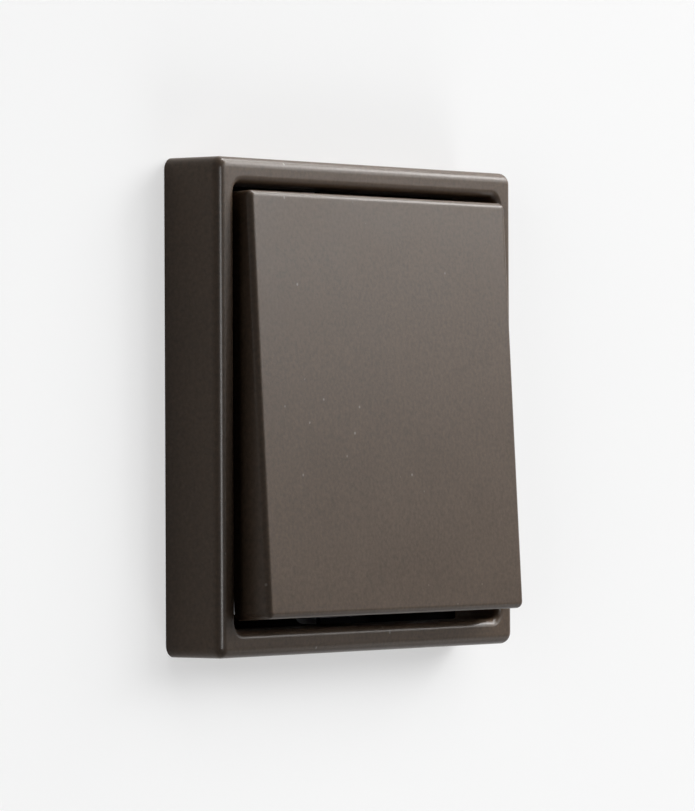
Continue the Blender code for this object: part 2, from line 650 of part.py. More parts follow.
def bearing_cover():
    """A lid with two snap-in bearings, and at its sides four noses that spread the claws."""
    body = plate(BASE_WIDTH - 2 * LID_INSET, BASE_HEIGHT - 2 * LID_INSET, BASE_CHAMFER,
                 LID_FRONT, LID_BACK, steps=1)
    rim = BEARING_BORE + BEARING_RIM
    foot = LID_FRONT + LID_WALL / 2
    outline = [(foot, -BEARING_FOOT / 2)] + arc((-PIVOT_OUT, 0), rim, -90, -270, 2 * ARC)
    outline.append((foot, BEARING_FOOT / 2))
    mouth = TRUNNION_RADIUS - BEARING_SNAP / 2
    joined, cut = [], []
    for side in sides():
        inner = side * BEARING_SPREAD / 2
        outer = inner + side * BEARING_WALL
        joined.append(profile_x(outline, inner, outer))
        past = side * BEARING_WALL
        cut.append(rod(BEARING_BORE, inner - past, outer + past, (0, -PIVOT_OUT, 0), "X"))
        cut.append(block((inner - past, -PIVOT_OUT, -mouth),
                         (outer + past, -PIVOT_OUT - 2 * rim, mouth)))
    hole = STEM_RADIUS + STEM_SWAY + RUN_GAP
    cut.append(plate(2 * hole, 2 * hole, hole / 2, LID_FRONT - LID_WALL, LID_BACK + LID_WALL))
    for x, z in rivet_places():
        cut.append(rod(RIVET_RADIUS + SEAT_GAP, LID_FRONT - LID_WALL, LID_BACK + LID_WALL, (x, 0, z)))

    bite = LID_WALL / 4
    root = BASE_WIDTH / 2 - LID_WALL
    inside = BASE_WIDTH / 2 + SEAT_GAP
    claw_x = BASE_WIDTH / 2 + CLAW_SIDE_GAP - RUN_GAP
    claw_y = CLAW_DEPTH - CLAW_LENGTH
    tip_y = claw_y - (inside + RAMP_TIP - claw_x) / math.tan(RAMP_SLOPE)
    top_y = LID_FRONT + bite
    top_x = claw_x + (claw_y - top_y) * math.tan(RAMP_SLOPE)
    nose = [(root, top_y), (top_x, top_y), (inside + RAMP_TIP, tip_y), (inside, tip_y),
            (inside, LID_BACK - bite), (root, LID_BACK - bite)]
    for side in sides():
        outline = [(side * x, y) for x, y in nose]
        for up in sides():
            low = up * (CLAW_SLOT / 2 + RUN_GAP)
            joined.append(profile_z(outline, low, low + up * RAMP_WIDTH))
    return piece("bearing_cover", HOUSING, body, joined, cut)


def insert_base():
    """A moulded block with a contact chamber in front and four terminal cells behind."""
    body = plate(BASE_WIDTH, BASE_HEIGHT, BASE_CHAMFER, BASE_FRONT, BASE_BACK, steps=1)
    mouth = BASE_FRONT - BASE_WALL
    past = BASE_BACK + BASE_WALL
    bay = CELL_OUT - STRIP_WIDTH - 2 * SEAT_GAP
    cut = [block((-CHAMBER, mouth, -CELL_LOW), (CHAMBER, FLOOR, CELL_LOW)),
           block((-CELL_OUT, mouth, -ARM_WIDTH / 2 - SEAT_GAP),
                 (CHAMBER, FLOOR, ARM_WIDTH / 2 + SEAT_GAP)),
           block((-CELL_OUT, mouth, -CELL_TOP), (-bay, FLOOR, CELL_TOP))]
    arm_low = FIXED_TIP_Z - ARM_WIDTH / 2 - SEAT_GAP
    between = arm_low - BASE_RIB
    cut.append(block((CHAMBER + BASE_RIB, mouth, -between), (CELL_OUT, FLOOR, between)))
    pocket = bay - BASE_RIB
    for up in sides():
        cut.append(block((-CHAMBER, mouth, up * arm_low), (CELL_OUT, FLOOR, up * CELL_LOW)))
        cut.append(block((bay, mouth, up * arm_low), (CELL_OUT, FLOOR, up * CELL_TOP)))
        cut.append(block((-pocket, mouth, up * (CELL_LOW + BASE_RIB)),
                         (pocket, FLOOR, up * CELL_TOP)))
        inner = CELL_IN - BASE_RIB
        cut.append(block((-inner, CORE_FRONT, up * CELL_LOW), (inner, past, up * CELL_TOP)))
        for side in sides():
            cut.append(block((side * CELL_IN, FLOOR - SHEET, up * CELL_LOW),
                             (side * CELL_OUT, past, up * CELL_TOP)))
    core = CELL_LOW - BASE_RIB
    cut.append(block((-CELL_OUT, CORE_FRONT, -core), (CELL_OUT, past, core)))
    deep = RING_FRONT - SEAT_GAP + RIVET_LENGTH + SEAT_GAP
    for x, z in rivet_places():
        cut.append(rod(RIVET_RADIUS + SEAT_GAP, mouth, deep, (x, 0, z)))
    notch_front = REAR_BACK - SNAP_LENGTH - REAR_WALL - SEAT_GAP
    for up in sides():
        cut.append(block((-SNAP_WIDTH / 2 - SEAT_GAP, notch_front,
                          up * (BASE_HEIGHT / 2 - SNAP_REACH - SEAT_GAP)),
                         (SNAP_WIDTH / 2 + SEAT_GAP, notch_front + SNAP_NOSE + 2 * SEAT_GAP,
                          up * BASE_HEIGHT)))
    return piece("insert_base", HOUSING, body, cut=cut)


def rear_cover():
    """A back plate with funnelled wire entries, windows for the levers and two snap arms."""
    body = plate(BASE_WIDTH, BASE_HEIGHT, BASE_CHAMFER, REAR_FRONT, REAR_BACK, steps=1)
    bite = REAR_WALL / 4
    root = BASE_HEIGHT / 2 - BASE_WALL
    inside = BASE_HEIGHT / 2 + SEAT_GAP
    outside = inside + SNAP_WALL
    tip = REAR_BACK - SNAP_LENGTH - REAR_WALL
    catch = BASE_HEIGHT / 2 - SNAP_REACH
    arm = [(REAR_BACK - bite, root), (REAR_BACK - bite, outside), (tip, outside), (tip, inside),
           (tip + SNAP_NOSE / 2, catch), (tip + SNAP_NOSE, catch), (tip + SNAP_NOSE, inside),
           (REAR_FRONT + bite, inside), (REAR_FRONT + bite, root)]
    joined, cut = [], []
    for up in sides():
        outline = [(y, up * z) for y, z in arm]
        joined.append(profile_x(outline, -SNAP_WIDTH / 2, SNAP_WIDTH / 2))
    wire_z = LEG_INSIDE - WIRE_RADIUS
    funnel = [(WIRE_RADIUS, REAR_FRONT - REAR_WALL), (WIRE_RADIUS, REAR_BACK - WIRE_FUNNEL),
              (WIRE_RADIUS + 2 * WIRE_FUNNEL, REAR_BACK + WIRE_FUNNEL)]
    neck = (LEVER_WIDTH - 2 * LEVER_SHOULDER) / 2 + SEAT_GAP
    for up in sides():
        for side in sides():
            wire_x = side * (CELL_SPREAD / 2 - WIRE_OFFSET)
            cut.append(turned(funnel, (wire_x, 0, up * wire_z), sides=16))
            lever_x = side * (CELL_SPREAD / 2 + LEVER_OFFSET)
            cut.append(block((lever_x - neck, REAR_FRONT - REAR_WALL,
                              up * (LEVER_LOW + LEVER_SHOULDER - SEAT_GAP)),
                             (lever_x + neck, REAR_BACK + REAR_WALL,
                              up * (LEVER_TOP - LEVER_SHOULDER + SEAT_GAP))))
    return piece("rear_cover", HOUSING, body, joined, cut)


def contact_bridge(parent):
    """A brass seesaw with two ears that straddle the knife edge, and its silver rivets."""
    body = plate(BRIDGE_WIDTH, BRIDGE_LENGTH, BRIDGE_WIDTH / 4, -BRIDGE_SHEET, 0, steps=3)
    joined = []
    for side in sides():
        outer = side * (BRIDGE_WIDTH / 2 + EAR_SHEET)
        inner = side * BRIDGE_WIDTH / 2
        bite = BRIDGE_SHEET / 4
        joined.append(block((inner - side * bite, -BRIDGE_SHEET + bite, -EAR_WIDTH / 2),
                            (outer, -bite, EAR_WIDTH / 2)))
        joined.append(block((inner, -BRIDGE_SHEET + 2 * bite, -EAR_WIDTH / 2 + bite),
                            (outer - side * bite / 2, EAR_LENGTH, EAR_WIDTH / 2 - bite)))
    hole = TIP_SHANK + SEAT_GAP
    cut = [rod(hole, -2 * BRIDGE_SHEET, BRIDGE_SHEET, (0, 0, up * CONTACT_ARM)) for up in sides()]
    piece("contact_bridge", BRASS, body, joined, cut, parent)
    back = -BRIDGE_SHEET - SEAT_GAP
    upset = TIP_HEAD / 2
    profile = [(TIP_RADIUS * 0.7, back - upset), (TIP_RADIUS * 0.7, back), (TIP_SHANK, back),
               (TIP_SHANK, SEAT_GAP), (TIP_RADIUS, SEAT_GAP), (TIP_RADIUS, TIP_FACE - TIP_DOME),
               (TIP_RADIUS * 0.6, TIP_FACE - TIP_DOME / 3), (TIP_RADIUS * 0.2, TIP_FACE)]
    for up, name in zip(sides(), ("lower", "upper")):
        tip = turned(profile, sides=16)
        piece(f"bridge_tip_{name}", SILVER, tip, parent=parent, location=(0, 0, up * CONTACT_ARM))


def common_contact():
    """A stamping with the bridge's knife edge, a cross strip and two terminal legs."""
    low, high = -CELL_OUT + SEAT_GAP, -CELL_OUT + SEAT_GAP + STRIP_WIDTH
    path = bent([(LEG_END, LEG_Z), (STRIP_MIDDLE, LEG_Z), (STRIP_MIDDLE, -LEG_Z),
                 (LEG_END, -LEG_Z)], BEND)
    bite = SHEET / 8
    reach = BRIDGE_WIDTH / 2 - EAR_SHEET
    cross = block((high - SHEET, STRIP_FRONT + bite, -ARM_WIDTH / 2),
                  (reach + bite, STRIP_FRONT + SHEET - bite, ARM_WIDTH / 2))
    taper = KNIFE_TOP + KNIFE_TAPER
    foot = STRIP_MIDDLE
    knife = [(KNIFE_TOP, -KNIFE_EDGE / 2), (KNIFE_TOP, KNIFE_EDGE / 2), (taper, KNIFE_SHEET / 2),
             (foot, KNIFE_SHEET / 2), (foot, -KNIFE_SHEET / 2), (taper, -KNIFE_SHEET / 2)]
    joined = [cross, profile_x(knife, -reach, reach)]
    return piece("common_contact", BRASS, sheet_x(path, SHEET, low, high), joined)


def throw_contacts():
    """Bent strips from the fixed silver tips to their terminal legs."""
    low, high = CELL_OUT - SEAT_GAP - STRIP_WIDTH, CELL_OUT - SEAT_GAP
    bite = SHEET / 8
    shank = STRIP_FRONT + SHEET - bite
    profile = [(TIP_RADIUS * 0.8, FIXED_TIP_FRONT), (TIP_RADIUS, FIXED_TIP_FRONT + TIP_DOME),
               (TIP_RADIUS, FIXED_TIP_FRONT + TIP_HEAD), (TIP_SHANK, FIXED_TIP_FRONT + TIP_HEAD),
               (TIP_SHANK, shank)]
    for up, name in zip(sides(), ("lower", "upper")):
        end = FIXED_TIP_Z - ARM_WIDTH / 2
        path = bent([(LEG_END, up * LEG_Z), (STRIP_MIDDLE, up * LEG_Z), (STRIP_MIDDLE, up * end)], BEND)
        arm = block((-ARM_WIDTH / 2, STRIP_FRONT + bite, up * (end + bite)),
                    (low + SHEET, STRIP_FRONT + SHEET - bite, up * (end + ARM_WIDTH)))
        hole = rod(TIP_SHANK + SEAT_GAP, STRIP_FRONT - SHEET, STRIP_FRONT + 2 * SHEET,
                   (0, 0, up * FIXED_TIP_Z))
        piece(f"throw_contact_{name}", BRASS, sheet_x(path, SHEET, low, high), [arm], [hole])
        tip = turned(profile, sides=16)
        piece(f"fixed_tip_{name}", SILVER, tip, location=(0, 0, up * FIXED_TIP_Z))


def terminals():
    """In each corner a bent clamp spring, and a lever that pushes its free end aside."""
    tip_z = LEG_INSIDE - SEAT_GAP - CLAMP_SHEET / 2
    loop = arc((CLAMP_BEND_Y, CLAMP_Z + CLAMP_LOOP), CLAMP_LOOP, -90, 90, 2 * ARC)
    path = [(CLAMP_BEND_Y - CLAMP_LEG, CLAMP_Z)] + loop + [(CLAMP_BEND_Y - CLAMP_REACH, tip_z)]
    lever_front = LEVER_BACK - LEVER_LENGTH
    chamfer = LEVER_WIDTH / 3
    head = [(LEVER_BACK, LEVER_LOW), (lever_front + chamfer, LEVER_LOW),
            (lever_front, LEVER_LOW + chamfer), (lever_front, LEVER_TOP), (LEVER_BACK, LEVER_TOP)]
    for up, row in zip(sides(), ("lower", "upper")):
        for side, column in zip(sides(), ("left", "right")):
            place = f"{row}_{column}"
            middle = side * CELL_SPREAD / 2
            clamp = sheet_x([(y, up * z) for y, z in path], CLAMP_SHEET,
                            middle - CLAMP_WIDTH / 2, middle + CLAMP_WIDTH / 2)
            piece(f"clamp_spring_{place}", SPRING_STEEL, clamp)
            middle += side * LEVER_OFFSET
            half = LEVER_WIDTH / 2
            neck = half - LEVER_SHOULDER
            body = profile_x([(y, up * z) for y, z in head], middle - half, middle + half)
            stem = block((middle - neck, LEVER_BACK - chamfer, up * (LEVER_LOW + LEVER_SHOULDER)),
                         (middle + neck, REAR_BACK + LEVER_OUT, up * (LEVER_TOP - LEVER_SHOULDER)))
            piece(f"release_lever_{place}", LEVER_RED, body, [stem])


def claw(side, name):
    """A fork of bent sheet with toothed ends; it turns about the nut that pulls it."""
    hinge = pivot(f"claw_hinge_{name}", (side * CLAW_X, CLAW_DEPTH, 0))
    plate_x = -CLAW_OFFSET + CLAW_SIDE_GAP + CLAW_SHEET / 2
    tooth_x = plate_x + CLAW_SHEET / 2 + CLAW_TOOTH
    front_y = -CLAW_LENGTH + CLAW_SHEET / 2
    flange_y = -CLAW_SHEET / 2
    path = bent([(tooth_x, front_y), (plate_x, front_y), (plate_x, flange_y),
                 (SCREW_RADIUS / 2, flange_y)], CLAW_BEND + CLAW_SHEET / 2)
    outline = [(side * x, y) for x, y in sheet_outline(path, CLAW_SHEET)]
    half = CLAW_WIDTH / 2
    slot = CLAW_SLOT / 2
    cut = [block((-2 * side * CLAW_OFFSET, -2 * CLAW_LENGTH, -slot),
                 (2 * side * CLAW_OFFSET, -CLAW_WEB, slot)),
           block((-side * (SCREW_RADIUS + RUN_GAP + SEAT_GAP), -2 * CLAW_WEB, -slot),
                 (2 * side * CLAW_OFFSET, CLAW_WEB, slot))]
    notch = (half - slot) / 4
    for up in sides():
        middle = up * (half + slot) / 2
        corners = [(middle - notch, tooth_x + notch), (middle + notch, tooth_x + notch),
                   (middle, tooth_x - CLAW_TOOTH / 2)]
        base = [(side * x, -2 * CLAW_LENGTH, z) for z, x in corners]
        cut.append(prism(base, (0, 1.5 * CLAW_LENGTH, 0)))
    piece(f"claw_{name}", ZINC, profile_z(outline, -half, half), cut=cut, parent=hinge)


def claw_drive(side, name):
    """A slotted pan-head screw through the ring, and the square nut on it."""
    axis = (side * CLAW_X, 0, 0)
    seat = RING_FRONT - SEAT_GAP
    top = seat - SCREW_HEAD
    profile = [(SCREW_HEAD_RADIUS * 0.7, top), (SCREW_HEAD_RADIUS * 0.93, top + SCREW_HEAD / 6),
               (SCREW_HEAD_RADIUS, top + SCREW_HEAD / 2), (SCREW_HEAD_RADIUS, seat),
               (SCREW_RADIUS, seat), (SCREW_RADIUS, seat + SCREW_LENGTH - SCREW_RADIUS / 2),
               (SCREW_RADIUS / 2, seat + SCREW_LENGTH)]
    wide = 2 * SCREW_HEAD_RADIUS
    slot = block((-wide, top - SCREW_HEAD, -SCREW_SLOT / 2), (wide, top + SCREW_HEAD / 2, SCREW_SLOT / 2))
    piece(f"claw_screw_{name}", ZINC, turned(profile), cut=[slot], location=axis)
    front = CLAW_DEPTH + SEAT_GAP
    body = plate(NUT_SIDE, NUT_SIDE, NUT_SIDE / 12, front, front + NUT_THICK, steps=1)
    bore = rod(SCREW_RADIUS + SEAT_GAP, front - NUT_THICK, front + 2 * NUT_THICK)
    piece(f"claw_nut_{name}", ZINC, body, cut=[bore], location=axis)


rocker_pivot = pivot("rocker_pivot", (0, -PIVOT_OUT, 0), -REST_TILT)
bridge_pivot = pivot("bridge_pivot", (0, BRIDGE_PIVOT, 0), BRIDGE_TILT)
cover_frame()
rocker(rocker_pivot)
toggle(rocker_pivot)
plunger(rocker_pivot)
plunger_spring(rocker_pivot)
support_ring()
ring_rivets()
bearing_cover()
insert_base()
rear_cover()
contact_bridge(bridge_pivot)
common_contact()
throw_contacts()
terminals()
for hand, hand_name in zip(sides(), ("left", "right")):
    claw(hand, hand_name)
    claw_drive(hand, hand_name)
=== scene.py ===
# %% [markdown]
# # Rocker wall switch
# A square cover frame with one large rocker hangs on a white wall. The imported CAD model is the frame of
# this scene: it already says where every piece is, in metres, with the wall's surface at Y = 0. This
# lesson gives each piece its finished shape and surface, and sets the camera and the light. The box of
# the CAD model is kept.

# %% Load the frame
import json
import math

import bmesh
import bpy
from mathutils import Matrix, Vector

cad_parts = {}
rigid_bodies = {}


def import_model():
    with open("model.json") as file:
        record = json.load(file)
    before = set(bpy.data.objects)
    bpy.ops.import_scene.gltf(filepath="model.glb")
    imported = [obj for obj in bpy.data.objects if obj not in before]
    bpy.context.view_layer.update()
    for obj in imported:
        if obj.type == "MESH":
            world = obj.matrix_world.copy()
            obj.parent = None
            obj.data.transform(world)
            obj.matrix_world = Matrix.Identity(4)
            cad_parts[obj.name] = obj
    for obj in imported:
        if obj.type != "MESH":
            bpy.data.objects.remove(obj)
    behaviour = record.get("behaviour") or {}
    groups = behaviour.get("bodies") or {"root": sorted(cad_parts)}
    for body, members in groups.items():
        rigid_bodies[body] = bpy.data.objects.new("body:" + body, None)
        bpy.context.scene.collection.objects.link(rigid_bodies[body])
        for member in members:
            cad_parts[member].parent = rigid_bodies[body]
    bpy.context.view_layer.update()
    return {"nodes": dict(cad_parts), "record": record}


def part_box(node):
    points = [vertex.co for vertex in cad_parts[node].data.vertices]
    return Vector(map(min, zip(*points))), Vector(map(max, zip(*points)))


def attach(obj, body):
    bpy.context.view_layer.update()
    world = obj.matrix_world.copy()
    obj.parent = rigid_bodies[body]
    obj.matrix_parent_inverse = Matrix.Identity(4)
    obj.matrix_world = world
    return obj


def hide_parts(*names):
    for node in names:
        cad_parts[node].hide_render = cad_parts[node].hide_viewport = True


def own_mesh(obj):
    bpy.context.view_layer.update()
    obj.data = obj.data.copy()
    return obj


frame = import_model()
BODIES = frame["record"]["behaviour"]["bodies"]
BODY_OF = {node: body for body, nodes in BODIES.items() for node in nodes}

# %% [markdown]
# ## Camera
# The photograph was taken from the left with a long lens. Its place and direction were fitted
# to the straight edges of the cover, so the numbers below are that fit: where the camera
# stands, three small turns, and the focal length in pixels. Blender's lens value is the focal
# length for a sensor 36 mm long, and the picture's long side is its height.

# %% Camera
PICTURE_HEIGHT = 811
SENSOR = 36.0
FOCAL_PIXELS = 5480.0
CAMERA_PLACE = Vector((-0.7286, -0.5612, -0.0057))
CAMERA_YAW = math.radians(52.71)
CAMERA_PITCH = math.radians(0.383)
CAMERA_ROLL = math.radians(-0.235)
CLIP_START = 0.05
CLIP_END = 20.0

look = Vector((math.sin(CAMERA_YAW) * math.cos(CAMERA_PITCH),
               math.cos(CAMERA_YAW) * math.cos(CAMERA_PITCH), math.sin(CAMERA_PITCH)))
level = Vector((math.cos(CAMERA_YAW), -math.sin(CAMERA_YAW), 0.0))
upright = level.cross(look)
right = level * math.cos(CAMERA_ROLL) + upright * math.sin(CAMERA_ROLL)
up = upright * math.cos(CAMERA_ROLL) - level * math.sin(CAMERA_ROLL)

camera_data = bpy.data.cameras.new("camera")
camera_data.sensor_width = SENSOR
camera_data.lens = FOCAL_PIXELS * SENSOR / PICTURE_HEIGHT
camera_data.clip_start = CLIP_START
camera_data.clip_end = CLIP_END
camera = bpy.data.objects.new("camera", camera_data)
bpy.context.scene.collection.objects.link(camera)
turn = Matrix((right, up, -look)).transposed().to_4x4()
camera.matrix_world = Matrix.Translation(CAMERA_PLACE) @ turn
bpy.context.scene.camera = camera
print(f"lens {camera_data.lens:.1f} mm, {CAMERA_PLACE.length * 1000:.0f} mm from the wall's origin")

# %% [markdown]
# ## Node helpers
# Materials are built from nodes in code. A few helpers keep that readable: one adds a node and
# sets its inputs, one mixes two colours, one finds the rays that see the background, and one
# makes a node group with named sockets. A group holds an effect that several finishes share, and
# is built once.

# %% Node helpers
def add(tree, kind, inputs=None, **settings):
    """Add a node, set its properties, and set or link its inputs."""
    node = tree.nodes.new(kind)
    for name, value in settings.items():
        setattr(node, name, value)
    for name, value in (inputs or {}).items():
        if isinstance(value, bpy.types.NodeSocket):
            tree.links.new(value, node.inputs[name])
        else:
            node.inputs[name].default_value = value
    return node


def mixed_colour(tree, factor, first, second):
    """Mix two colours, given or linked, by a factor socket; returns the result's socket."""
    mix = add(tree, "ShaderNodeMix", data_type="RGBA")
    tree.links.new(factor, mix.inputs["Factor"])
    for socket, colour in (("A", first), ("B", second)):
        if isinstance(colour, bpy.types.NodeSocket):
            tree.links.new(colour, mix.inputs[socket])
        else:
            mix.inputs[socket].default_value = colour
    return mix.outputs["Result"]


def background_rays(tree):
    """A mask of the rays that see the background: the camera's, gloss and glass."""
    ray = add(tree, "ShaderNodeLightPath")
    seen = ray.outputs["Is Camera Ray"]
    for other in ("Is Glossy Ray", "Is Transmission Ray"):
        seen = add(tree, "ShaderNodeMath", {0: seen, 1: ray.outputs[other]},
                   operation="MAXIMUM").outputs[0]
    return seen


def new_group(name, kind, inputs, outputs):
    """Make a node group with named inputs and outputs; returns it with its two end nodes."""
    group = bpy.data.node_groups.new(name, kind)
    for label, socket, value in inputs:
        made = group.interface.new_socket(label, in_out="INPUT", socket_type=socket)
        if value is not None:
            made.default_value = value
    for label, socket in outputs:
        group.interface.new_socket(label, in_out="OUTPUT", socket_type=socket)
    start = group.nodes.new("NodeGroupInput")
    end = group.nodes.new("NodeGroupOutput")
    return group, start, end


FLOAT, INTEGER = "NodeSocketFloat", "NodeSocketInt"
GEOMETRY, MATERIAL = "NodeSocketGeometry", "NodeSocketMaterial"

# %% [markdown]
# ## Grain
# Lacquer, moulded plastic and plated steel all have a fine grain, only its size and depth
# differ. The group reads the piece's own coordinates, so the grain stays with the piece. It
# gives a height for bump, and a mask from 0 to 1 that shifts colour and roughness. A second,
# larger noise makes the soft clouds that a sprayed or moulded surface has.

# %% Grain group
FINE_LOW, FINE_HIGH = 0.25, 0.75
CLOUD_LOW, CLOUD_HIGH = 0.2, 0.8

grain, start, end = new_group(
    "grain", "ShaderNodeTree",
    [("Size", FLOAT, 0.0003), ("Cloud Size", FLOAT, 0.012)],
    [("Height", FLOAT), ("Fine", FLOAT), ("Cloud", FLOAT)])
place = add(grain, "ShaderNodeTexCoord").outputs["Object"]
fine_scale = add(grain, "ShaderNodeMath", {0: 1.0, 1: start.outputs["Size"]}, operation="DIVIDE")
cloud_scale = add(grain, "ShaderNodeMath", {0: 1.0, 1: start.outputs["Cloud Size"]},
                  operation="DIVIDE")
fine = add(grain, "ShaderNodeTexNoise", {"Vector": place, "Scale": fine_scale.outputs[0],
                                         "Detail": 4.0, "Roughness": 0.65})
cloud = add(grain, "ShaderNodeTexNoise", {"Vector": place, "Scale": cloud_scale.outputs[0],
                                          "Detail": 3.0, "Roughness": 0.5})
grain.links.new(fine.outputs["Fac"], end.inputs["Height"])
spread = add(grain, "ShaderNodeMapRange", {"Value": fine.outputs["Fac"],
                                           "From Min": FINE_LOW, "From Max": FINE_HIGH})
grain.links.new(spread.outputs["Result"], end.inputs["Fine"])
cloud_spread = add(grain, "ShaderNodeMapRange", {"Value": cloud.outputs["Fac"],
                                                 "From Min": CLOUD_LOW, "From Max": CLOUD_HIGH},
                   interpolation_type="SMOOTHSTEP")
grain.links.new(cloud_spread.outputs["Result"], end.inputs["Cloud"])
print("grain group:", [socket.name for socket in end.inputs if socket.name])

# %% [markdown]
# ## Flecks
# The lacquer holds a little pigment that glints, and its glint is painted: rare single flecks of lighter
# colour, at most about half a millimetre wide. A Voronoi texture gives every cell a random number, and
# only the cells with a high number become flecks. The share of such cells is an input, so another finish
# can have more or fewer.

# %% Fleck group
FLECK_CORE, FLECK_RIM = 0.15, 0.4

painted_glint_flecks, start, end = new_group(
    "painted_glint_flecks", "ShaderNodeTree",
    [("Spacing", FLOAT, 0.0004), ("Share", FLOAT, 0.1)], [("Mask", FLOAT)])
place = add(painted_glint_flecks, "ShaderNodeTexCoord").outputs["Object"]
scale = add(painted_glint_flecks, "ShaderNodeMath", {0: 1.0, 1: start.outputs["Spacing"]}, operation="DIVIDE")
cells = add(painted_glint_flecks, "ShaderNodeTexVoronoi", {"Vector": place, "Scale": scale.outputs[0]})
number = add(painted_glint_flecks, "ShaderNodeSeparateColor", {"Color": cells.outputs["Color"]})
limit = add(painted_glint_flecks, "ShaderNodeMath", {0: 1.0, 1: start.outputs["Share"]}, operation="SUBTRACT")
chosen = add(painted_glint_flecks, "ShaderNodeMath", {0: number.outputs["Red"], 1: limit.outputs[0]},
             operation="GREATER_THAN")
core = add(painted_glint_flecks, "ShaderNodeMapRange", {"Value": cells.outputs["Distance"], "From Min": FLECK_CORE,
                                          "From Max": FLECK_RIM, "To Min": 1.0, "To Max": 0.0})
mask = add(painted_glint_flecks, "ShaderNodeMath", {0: chosen.outputs[0], 1: core.outputs["Result"]},
           operation="MULTIPLY")
painted_glint_flecks.links.new(mask.outputs[0], end.inputs["Mask"])
print("fleck group:", [socket.name for socket in end.inputs if socket.name])

# %% [markdown]
# ## Finishes
# Each finish is a Principled shader. Its colour runs between two tones by the grain's masks,
# its roughness changes a little with the clouds, and the fine grain is a shallow bump. What is
# the same all over, such as metal, is set on the shader itself.

# %% One finish
def finish(name, dark, light, roughness, size, bump, cloud=0.35, metallic=0.0, specular=0.5,
           rough_range=0.06, painted_glint=None):
    """A grained finish between two tones, with optional cells of painted glint given as (colour, spacing,
    share).
    """
    material = bpy.data.materials.new(name)
    material.use_nodes = True
    tree = material.node_tree
    shader = tree.nodes["Principled BSDF"]
    texture = add(tree, "ShaderNodeGroup", node_tree=grain)
    texture.inputs["Size"].default_value = size
    weight = add(tree, "ShaderNodeMix", {"Factor": cloud, "A": texture.outputs["Fine"],
                                         "B": texture.outputs["Cloud"]})
    colour = mixed_colour(tree, weight.outputs["Result"], (*dark, 1.0), (*light, 1.0))
    if painted_glint:
        painted_glint_colour, spacing, share = painted_glint
        spots = add(tree, "ShaderNodeGroup", node_tree=painted_glint_flecks)
        spots.inputs["Spacing"].default_value = spacing
        spots.inputs["Share"].default_value = share
        # Painted glint: the chosen cells get a lighter colour.
        colour = mixed_colour(tree, spots.outputs["Mask"], colour, (*painted_glint_colour, 1.0))
    tree.links.new(colour, shader.inputs["Base Color"])
    rough = add(tree, "ShaderNodeMapRange", {"Value": texture.outputs["Cloud"],
                                             "To Min": roughness - rough_range / 2,
                                             "To Max": roughness + rough_range / 2})
    tree.links.new(rough.outputs["Result"], shader.inputs["Roughness"])
    relief = add(tree, "ShaderNodeBump", {"Height": texture.outputs["Height"], "Distance": bump,
                                          "Strength": 1.0})
    tree.links.new(relief.outputs["Normal"], shader.inputs["Normal"])
    shader.inputs["Metallic"].default_value = metallic
    shader.inputs["Specular IOR Level"].default_value = specular
    return material


# %% [markdown]
# The numbers of a finish are its two tones, its roughness, and the grain's size and depth in
# metres. The cover's lacquer is satin: it reflects less than a glossy paint, and its roughness
# hardly changes.

# %% Finishes of the pieces
ZINC_DARK = (0.56, 0.57, 0.59)
ZINC_LIGHT = (0.70, 0.71, 0.72)
# Painted glint of the lacquer's pigment: colour, spacing and share of lighter flecks.
PAINTED_GLINT_FLECK = ((0.22, 0.185, 0.155), 0.0008, 0.003)

LACQUER = finish("satin_brown_lacquer", (0.062, 0.0415, 0.0272), (0.117, 0.0783, 0.0516),
                 roughness=0.30, size=0.0007, bump=0.000014, cloud=0.15, specular=0.18,
                 rough_range=0.04, painted_glint=PAINTED_GLINT_FLECK)
THERMOSET = finish("moulded_grey_thermoset", (0.36, 0.36, 0.35), (0.46, 0.46, 0.45),
                   roughness=0.55, size=0.0004, bump=0.00002)
NYLON = finish("milky_nylon", (0.72, 0.70, 0.65), (0.80, 0.78, 0.73),
               roughness=0.48, size=0.0004, bump=0.00001)
ORANGE = finish("orange_lever_plastic", (0.66, 0.20, 0.05), (0.76, 0.25, 0.07),
                roughness=0.45, size=0.0004, bump=0.000012)
ZINC = finish("bright_zinc_plating", ZINC_DARK, ZINC_LIGHT,
              roughness=0.20, size=0.0005, bump=0.000004, metallic=1.0, rough_range=0.08)
BRASS = finish("rolled_brass", (0.66, 0.49, 0.22), (0.76, 0.59, 0.30),
               roughness=0.30, size=0.0004, bump=0.000005, metallic=1.0)
SILVER = finish("pressed_silver", (0.78, 0.77, 0.74), (0.86, 0.85, 0.82),
                roughness=0.26, size=0.0003, bump=0.000005, metallic=1.0)
SPRING_STEEL = finish("drawn_spring_steel", (0.42, 0.43, 0.45), (0.52, 0.53, 0.55),
                      roughness=0.28, size=0.0003, bump=0.000005, metallic=1.0)
made = (LACQUER, THERMOSET, NYLON, ORANGE, ZINC, BRASS, SILVER, SPRING_STEEL)
print("finishes:", [material.name for material in made])

# %% [markdown]
# No metal shines in the gap round the rocker, which lies in shade. That shade is painted: the front of
# the support ring's lugs gets dull dark paint, as if the ring had been dipped. A mask along the piece's
# own depth mixes the painted shade's colour and roughness with those of the plating.

# %% Painted shade on the ring's lugs
# Painted shade: the lugs are painted dark where the gap round the rocker is in shade.
PAINTED_SHADE_DEPTH = -0.0046
PAINTED_SHADE_FADE = 0.0001
PAINTED_SHADE_COLOUR = (0.012, 0.011, 0.010, 1.0)
PAINTED_SHADE_ROUGHNESS = 0.7


